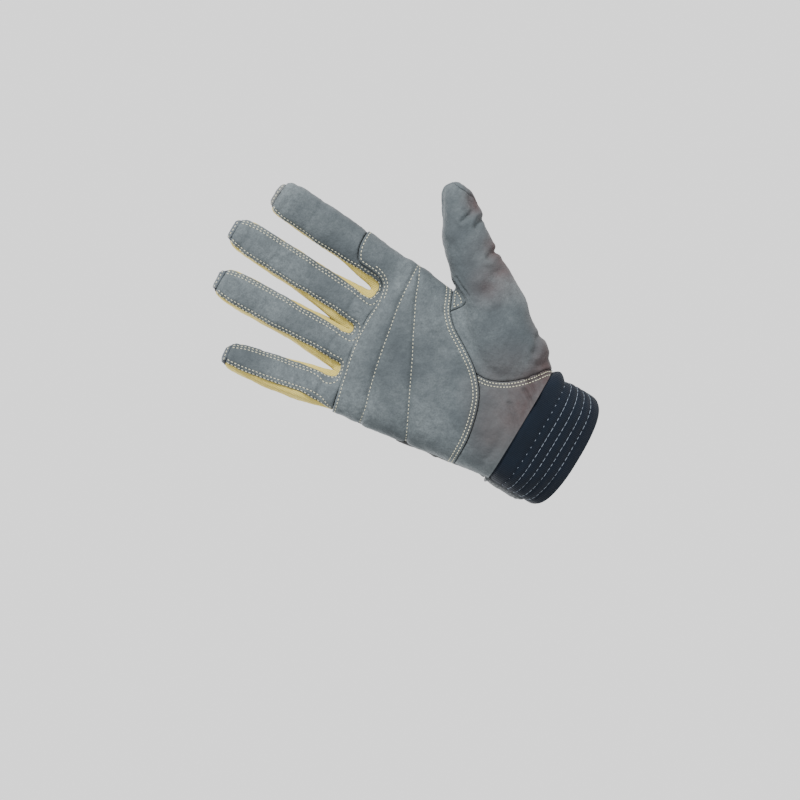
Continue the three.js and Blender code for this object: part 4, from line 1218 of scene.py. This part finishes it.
def cuff():
    """A tube down its outside, round its lip and up its inside: heights, offsets, shares of the relief."""
    turns = even_turns(CUFF_TURNS)
    outer_rows, lip_rows, inner_rows = CUFF_ROWS
    top, foot = 1.2, -CUFF_LENGTH + 0.7
    inner = CUFF_FACE - 1.8
    lip, middle = (CUFF_FACE - inner) / 2, (CUFF_FACE + inner) / 2
    profile = [(z, CUFF_FACE, 1.0) for z in np.linspace(top, foot, outer_rows)]
    for a in np.linspace(0.2, math.pi - 0.2, lip_rows):
        profile.append((foot - lip * math.sin(a), middle + lip * math.cos(a), 0.4))
    profile += [(z, inner, 0.3) for z in np.linspace(foot, top, inner_rows)]
    rings = []
    for z, offset, share in profile:
        level = np.full(len(turns), z)
        sink = -0.6 * smooth(z, -1.0, 0.6)
        rings.append(cuff_points(turns, level, offset + sink + share * cuff_relief(turns, level)))
    faces = grid_faces(len(rings), len(turns), rows_close=True)[:, ::-1]
    piece("cuff", np.vstack(rings), faces, CUFF_NAVY, "cuff_elastic", ["cuff"])


cuff()


# Plates laid on the cuff and on the back
def laid_sheet(us, vs, place):
    """A grid of points with the normals of the surface they lie on."""
    u, v = np.meshgrid(us, vs, indexing="ij")
    u, v = u.ravel(), v.ravel()
    p = place(u, v)
    d = 0.01
    n = unit(np.cross(place(u + d, v) - p, place(u, v + d) - p))
    tris = halved(grid_faces(len(us), len(vs), points_close=False))
    out = p - np.array([HAND_CENTRE, 0, 0])
    if np.mean(n[:, 0] * out[:, 0] + n[:, 1] * out[:, 1]) < 0:
        n = -n
    if np.mean(np.sum(normals_of(p, tris) * n, axis=1)) < 0:
        tris = tris[:, ::-1]
    return Cloth(tris, {"p": p, "n": n, "u": u, "v": v})


def rounded_box(u, v, left, right, low, high, corner):
    """Distance inside a rectangle with rounded corners."""
    x = np.abs(u - (left + right) / 2) - (right - left) / 2 + corner
    y = np.abs(v - (low + high) / 2) - (high - low) / 2 + corner
    return corner - np.hypot(np.maximum(x, 0), np.maximum(y, 0)) - np.minimum(np.maximum(x, y), 0)


def cuff_at(turn, z):
    return cuff_points(turn, z, 0.0)


def cuff_plate(name, turn_from, turn_to, top, bottom, corner, height, thickness, relief, look):
    """A plate round the cuff, rounded at the corners of the end where its turns begin."""
    radius = (WRIST_WIDTH + WRIST_DEPTH) / 4
    turns = np.radians(np.linspace(turn_from, turn_to, round(PLATE_STEPS * (turn_to - turn_from))))
    left, right = math.radians(turn_from) * radius, math.radians(turn_to) * radius

    def inside(c):
        rounded_end = rounded_box(c["u"] * radius, c["v"], left, right + corner, bottom, top, corner)
        return np.minimum(rounded_end, right - c["u"] * radius)

    sheet = laid_sheet(turns, np.linspace(bottom, top, PLATE_ROWS), cuff_at)
    cloth = sheet.cut(inside(sheet.values) - CUT_MARGIN)
    solid(name, cloth, inside(cloth.values), height, thickness, relief, look, PLATE_BORDER)


def patch_relief(c):
    loops = np.sin(c["u"] * 29 * 3.3) * np.sin(c["v"] * 3.3)
    return 0.12 * loops + 0.1 * waves(c["p"], 1.6, 61) - 0.25 * (1 - smooth(c["field"], 1.0, 1.6))


def tab_height(c):
    patch_end, tab_end = math.radians(PATCH_TURNS[1]), math.radians(TAB_TURNS[1])
    over_patch = 1 - smooth(c["u"], patch_end + 0.1, patch_end + 0.5)
    far_end = smooth(c["u"], tab_end - math.radians(14), tab_end)
    return 2.2 + 1.5 * over_patch + 0.9 * smooth(c["v"], -1.5, 0.5) - 1.5 * far_end


def tab_relief(c):
    return leather_relief(c["p"], 71, 0.9) + rows_relief(c["field"], TAB_ROWS, 0.35, 0.8)


PATCH_LOOK = (LOOP_BLUE, "loop_cloth")
cuff_plate("loop_patch", *PATCH_TURNS, *PATCH_SPAN, 1.5, 1.5, 1.2, patch_relief, PATCH_LOOK)
cuff_plate("wrist_tab", *TAB_TURNS, *TAB_SPAN, 6.0, tab_height, 2.0, tab_relief, BACK_LOOK)


def back_at(x, z):
    """The back's face, without its relief."""
    along = z / PALM_LENGTH
    half_width, _, back = hand_section(along)
    share = np.clip(np.abs(x - HAND_CENTRE) / half_width, 0, 0.999)
    y = back * (1 - share**HAND_POWER) ** (1 / HAND_POWER) - cup_at(x, along)
    return np.column_stack([x, y, z])


def badge_place(u, v):
    c, s = math.cos(BADGE_TURN), math.sin(BADGE_TURN)
    return back_at(BADGE_MIDDLE[0] + u * c - v * s, BADGE_MIDDLE[1] + u * s + v * c)


def badge_field(u, v):
    """Distance inside the badge's outline: a rectangle whose ends come to blunt points."""
    w, h = BADGE_SIZE[0] / 2, BADGE_SIZE[1] / 2
    ends = (w - np.abs(u)) * 0.966 - np.clip(np.abs(v) - 0.25 * h, 0, None) * 0.26
    return -either(-(h - np.abs(v)), -ends, 1.5)


def badge_part(name, inside, height, thickness, relief, material, replaced):
    us, vs = [
        np.linspace(-size / 2 - 0.5, size / 2 + 0.5, count) for size, count in zip(BADGE_SIZE, BADGE_GRID)
    ]
    sheet = laid_sheet(us, vs, badge_place)
    cloth = sheet.cut(inside(sheet.values["u"], sheet.values["v"]) - CUT_MARGIN)
    field = inside(cloth.values["u"], cloth.values["v"])
    look = (material, "badge_rubber")
    solid(name, cloth, field, height, thickness, relief, look, BADGE_BORDER, replaced)


def badge_rim(c):
    f = c["field"]
    rim = smooth(f, 0.2, 0.8) * (1 - smooth(f, 1.5, 2.0))
    return 0.55 * rim - 0.15 * smooth(f, 1.8, 2.3)


def badge_bars(u, v):
    """Distance inside the nearest of three plain blocks side by side."""
    return np.maximum.reduce([
        rounded_box(u, v, left, right, -BLOCK_REACH, BLOCK_REACH, 1.4) for left, right in BLOCKS
    ])


badge_part("badge", badge_field, 2.2, 1.2, badge_rim, BLACK, True)
badge_part("badge_blocks", badge_bars, 2.75, 0.9, lambda c: 0, RED, False)


# Stitches
def contour(name, field, level, keep=None):
    """Lines on a piece's outer face where a field has a level, as points with their normals."""
    face, normals, tris, c = FACES[name]
    f = field(c) - level
    f = np.where(np.abs(f) < 1e-6, 1e-6, f)
    allowed = keep(c) if keep is not None else np.ones(len(f), bool)
    sign = f > 0
    crossing = tris[(sign[tris].sum(1) % 3 > 0) & allowed[tris].all(1)]
    ends = {}
    links = {}
    for tri in crossing.tolist():
        pairs = zip(tri, tri[1:] + tri[:1])
        keys = [(min(a, b), max(a, b)) for a, b in pairs if sign[a] != sign[b]]
        for a, b in keys:
            t = f[a] / (f[a] - f[b])
            ends[a, b] = (face[a] * (1 - t) + face[b] * t, normals[a] * (1 - t) + normals[b] * t)
        links.setdefault(keys[0], []).append(keys[1])
        links.setdefault(keys[1], []).append(keys[0])
    lines = []
    left = set(links)
    starts = [k for k in links if len(links[k]) == 1] + list(links)
    for start in starts:
        if start not in left:
            continue
        line = [start]
        left.discard(start)
        while True:
            following = [k for k in links[line[-1]] if k in left]
            if not following:
                break
            line.append(following[0])
            left.discard(following[0])
        if start in links[line[-1]] and len(line) > 8:
            line.append(start)
        if len(line) > 6:
            lines.append([np.array(values) for values in zip(*(ends[k] for k in line))])
    return lines


LINE_STEP = 0.5
STITCH_FLATNESS = 0.85
STITCH_SHARE = 0.62  # the most of its pitch that a stitch with holes beside it takes
HOLE_SIZE = (0.55, 0.24, 0.06)  # length, half width, height


def along_line(at, along, values):
    return np.column_stack([np.interp(at, along, values[:, k]) for k in range(3)])


def even(p, n):
    """The line eased and with even steps."""
    for _ in range(3):
        p = np.vstack([p[:1], (p[:-2] + 2 * p[1:-1] + p[2:]) / 4, p[-1:]])
        n = np.vstack([n[:1], (n[:-2] + 2 * n[1:-1] + n[2:]) / 4, n[-1:]])
    along = run_of(p)
    at = np.arange(0, along[-1], LINE_STEP)
    return along_line(at, along, p), along_line(at, along, n)


def capsule(sides, profile):
    """One stitch along x, one unit long and two units across, with rounded ends."""
    rings = []
    for x, r in profile:
        a = np.linspace(0, 2 * math.pi, sides, endpoint=False)
        rings.append(np.column_stack([np.full(sides, x), r * np.cos(a), r * np.sin(a)]))
    return ring_mesh(rings)


STITCH = capsule(7, ((-0.5, 0.3), (-0.4, 0.8), (-0.15, 1.0), (0.15, 1.0), (0.4, 0.8), (0.5, 0.3)))
HOLE = capsule(6, ((-0.5, 0.4), (-0.25, 0.9), (0.25, 0.9), (0.5, 0.4)))


def lay(into, shape, middle, way, side, up):
    """Adds a shape's points at each middle, along three directions."""
    x, y, z = shape[0].T
    for m, w, s, u in zip(middle, way, side, up):
        into.append(m + np.outer(x, w) + np.outer(y, s) + np.outer(z, u))


class Thread:
    """Many stitches of one thread as one mesh, and the painted shade at the holes between them as another."""

    def __init__(self, name, material, radius=0.27, holes=True):
        self.name, self.material, self.radius, self.holes = name, material, radius, holes
        self.stitches, self.dots = [], []

    def row(self, p, n, pitch=2.2, length=1.25, lift=0.02):
        p, n = even(p, n)
        if len(p) < 6:
            return
        along = np.arange(len(p)) * LINE_STEP
        count = max(1, round(along[-1] / pitch))
        pitch = along[-1] / count
        length = min(length, STITCH_SHARE * pitch) if self.holes else length
        at = (np.arange(count) + 0.5) * pitch
        first, last = along_line(at - length / 2, along, p), along_line(at + length / 2, along, p)
        way = unit(last - first)
        up = along_line(at, along, n)
        up = unit(up - way * np.sum(up * way, axis=1)[:, None])
        side = np.cross(up, way)
        r = self.radius
        middle = along_line(at, along, p)
        gap = along_line(at + pitch / 2, along, p)
        lay(self.stitches, STITCH, middle + up * lift, way * length, side * r, up * r * STITCH_FLATNESS)
        if self.holes:
            length, half_width, height = HOLE_SIZE
            lay(self.dots, HOLE, gap[:-1], way[:-1] * length, side[:-1] * half_width, up[:-1] * height)

    def rows(self, name, field, levels, keep=None, **how):
        for level in levels:
            for p, n in contour(name, field, level, keep):
                self.row(p, n, **how)

    def finish(self, slot):
        for name, parts, shape, material in (
            (self.name, self.stitches, STITCH, self.material),
            (self.name + "_holes", self.dots, HOLE, PAINTED_HOLE_SHADE),
        ):
            if parts:
                starts = np.arange(len(parts)) * len(shape[0])
                tris = (shape[1][None] + starts[:, None, None]).reshape(-1, 3)
                piece(name, np.vstack(parts), tris, material, slot, sharp=0)


def front_stitches():
    t = Thread("stitches_front", THREAD)
    t.rows("palm_panel", lambda c: c["heel"], HEEL_ROWS, lambda c: c["x"] > -45, pitch=1.95)
    t.rows("palm_panel", lambda c: -c["base"], BASE_ROWS[:1], lambda c: c["w"] < 2)
    t.rows("palm_panel", lambda c: -c["base"], BASE_ROWS[1:], lambda c: (c["x"] > 19) & (c["z"] < 118))
    t.rows("heel_panel", lambda c: -c["thumb"], THUMB_ROWS, pitch=1.8)
    t.rows("thumb_gusset", lambda c: c["field"], (1.4,))
    for line in QUILT_LINES:
        t.rows("palm_panel", lambda c: quilt_field(c, line), (0.0,), lift=-0.08)
    for name in ("finger_panel", "index_front"):
        t.rows(name, sewn, FINGER_ROWS, strip_keep)
    t.finish("palm_leather")


def strip_keep(c):
    thumb_side = on_finger(c, 0) & (c["u"] > 0)
    return ~thumb_side & (c["tip"] < -0.6) & (c["z"] > ROWS_FOOT)


def back_stitches():
    """Rows along the leather's edges, and those that cross from strap to strap below the notches."""
    t = Thread("stitches_back", THREAD)

    def on_back(c):
        return ((c["side"] > 0.5) | (c["finger"] > 0.5)) & (c["tip"] < 0.5) & (c["z"] > 1)

    def off_notch(c):
        return on_back(c) & ~((np.abs(c["x"] + 19) < 1.8) & (np.abs(c["z"] - NOTCH_TOP) < 3))

    def crossing(c):
        near = [(c["x"] > left) & (c["x"] < right) for left, right in STRAP_CROSSINGS]
        return (near[0] | near[1]) & (np.abs(c["z"] - 88) < 8)

    t.rows("back_panel", panel_border, BACK_ROWS, on_back)
    t.rows("knuckle_panel", knuckle_border, BACK_ROWS, off_notch)
    t.rows("knuckle_panel", under_notches, BACK_ROWS, crossing)
    t.finish("back_leather")


def tip_stitches():
    """The row across each fingertip, on the leather that comes over it."""
    t = Thread("stitches_tips", THREAD)
    for name in ("back_panel", "knuckle_panel"):
        t.rows(name, lambda c: c["tip"], (0.9,), lambda c: c["w"] < 0)
    t.finish("back_leather")


def tab_stitches():
    t = Thread("stitches_tab", DARK_THREAD, 0.28, holes=False)
    t.rows("wrist_tab", lambda c: c["field"], TAB_ROWS, pitch=2.4, length=1.7)
    t.finish("back_leather")


def cuff_line(z, turn_from, turn_to):
    """Points and normals along an elastic's stitch line."""
    turns = np.radians(np.linspace(turn_from, turn_to, 500))
    z = np.full(len(turns), z)
    outwards = unit(cuff_points(turns, z, 1.0) - cuff_at(turns, z))
    return cuff_points(turns, z, CUFF_FACE + cuff_relief(turns, z)), outwards


def cuff_threads():
    t = Thread("cuff_threads", WHITE_THREAD, 0.12, holes=False)
    t.row(*cuff_line(ELASTIC_LINES[0], -172, 60), pitch=4.6, length=1.0, lift=0.05)
    for line in ELASTIC_LINES[1:]:
        t.row(*cuff_line(line, -172, 37), pitch=3.4, length=2.8, lift=0.05)
    t.finish("cuff_elastic")
    t = Thread("cuff_threads_bold", BRIGHT_THREAD, 0.3, holes=False)
    for line in ELASTIC_LINES[1:]:
        t.row(*cuff_line(line, 37, 60), pitch=3.0, length=2.95, lift=0.0)
    t.finish("cuff_elastic")


front_stitches()
back_stitches()
tip_stitches()
tab_stitches()
cuff_threads()


# Floor, light, camera
def floor():
    reach, level = 0.7, -0.5
    corners = [(-reach, -reach, level), (reach, -reach, level), (reach, reach, level), (-reach, reach, level)]
    mesh = raw_mesh("floor", np.array(corners), np.array([[0, 1, 2, 3]]))
    mesh.materials.append(plain("floor_white", srgb(240, 240, 240), 0.9))
    placed("floor", mesh)


def area_light(name, place, target, size, power):
    data = bpy.data.lights.new(name, "AREA")
    data.shape = "DISK"
    data.size = size
    data.energy = power
    made = placed(name, data)
    made.location = place
    made.rotation_euler = (Vector(target) - Vector(place)).to_track_quat("-Z", "Y").to_euler()


def camera():
    """Looks straight at the palm, turned so that the fingers point up to the left."""
    far = 1.3
    shown = 0.456  # metres across the picture
    right = Vector((0.515, 0, -0.857)).normalized()
    up = Vector((0.857, 0, 0.515)).normalized()
    back = Vector((0, -1, 0))
    aim = Vector((np.array([-25.1, -8.0, 66.1]) + SHIFT) / 1000)
    data = bpy.data.cameras.new("camera")
    data.sensor_width = 36
    data.lens = data.sensor_width * far / shown
    made = placed("camera", data)
    turn = Matrix((right, up, back)).transposed().to_4x4()
    made.matrix_world = Matrix.Translation(aim + far * back) @ turn
    bpy.context.scene.camera = made


def surroundings():
    world = bpy.data.worlds.new("world")
    world.use_nodes = True
    background = world.node_tree.nodes["Background"]
    background.inputs["Color"].default_value = (1, 1, 1, 1)
    background.inputs["Strength"].default_value = 1.5
    bpy.context.scene.world = world


floor()
camera()
surroundings()
area_light("key", (0.75, -0.9, 0.95), (0, 0, 0.1), 0.45, 40)
area_light("back", (-0.8, 0.9, 0.8), (0, 0, 0.1), 0.5, 34)
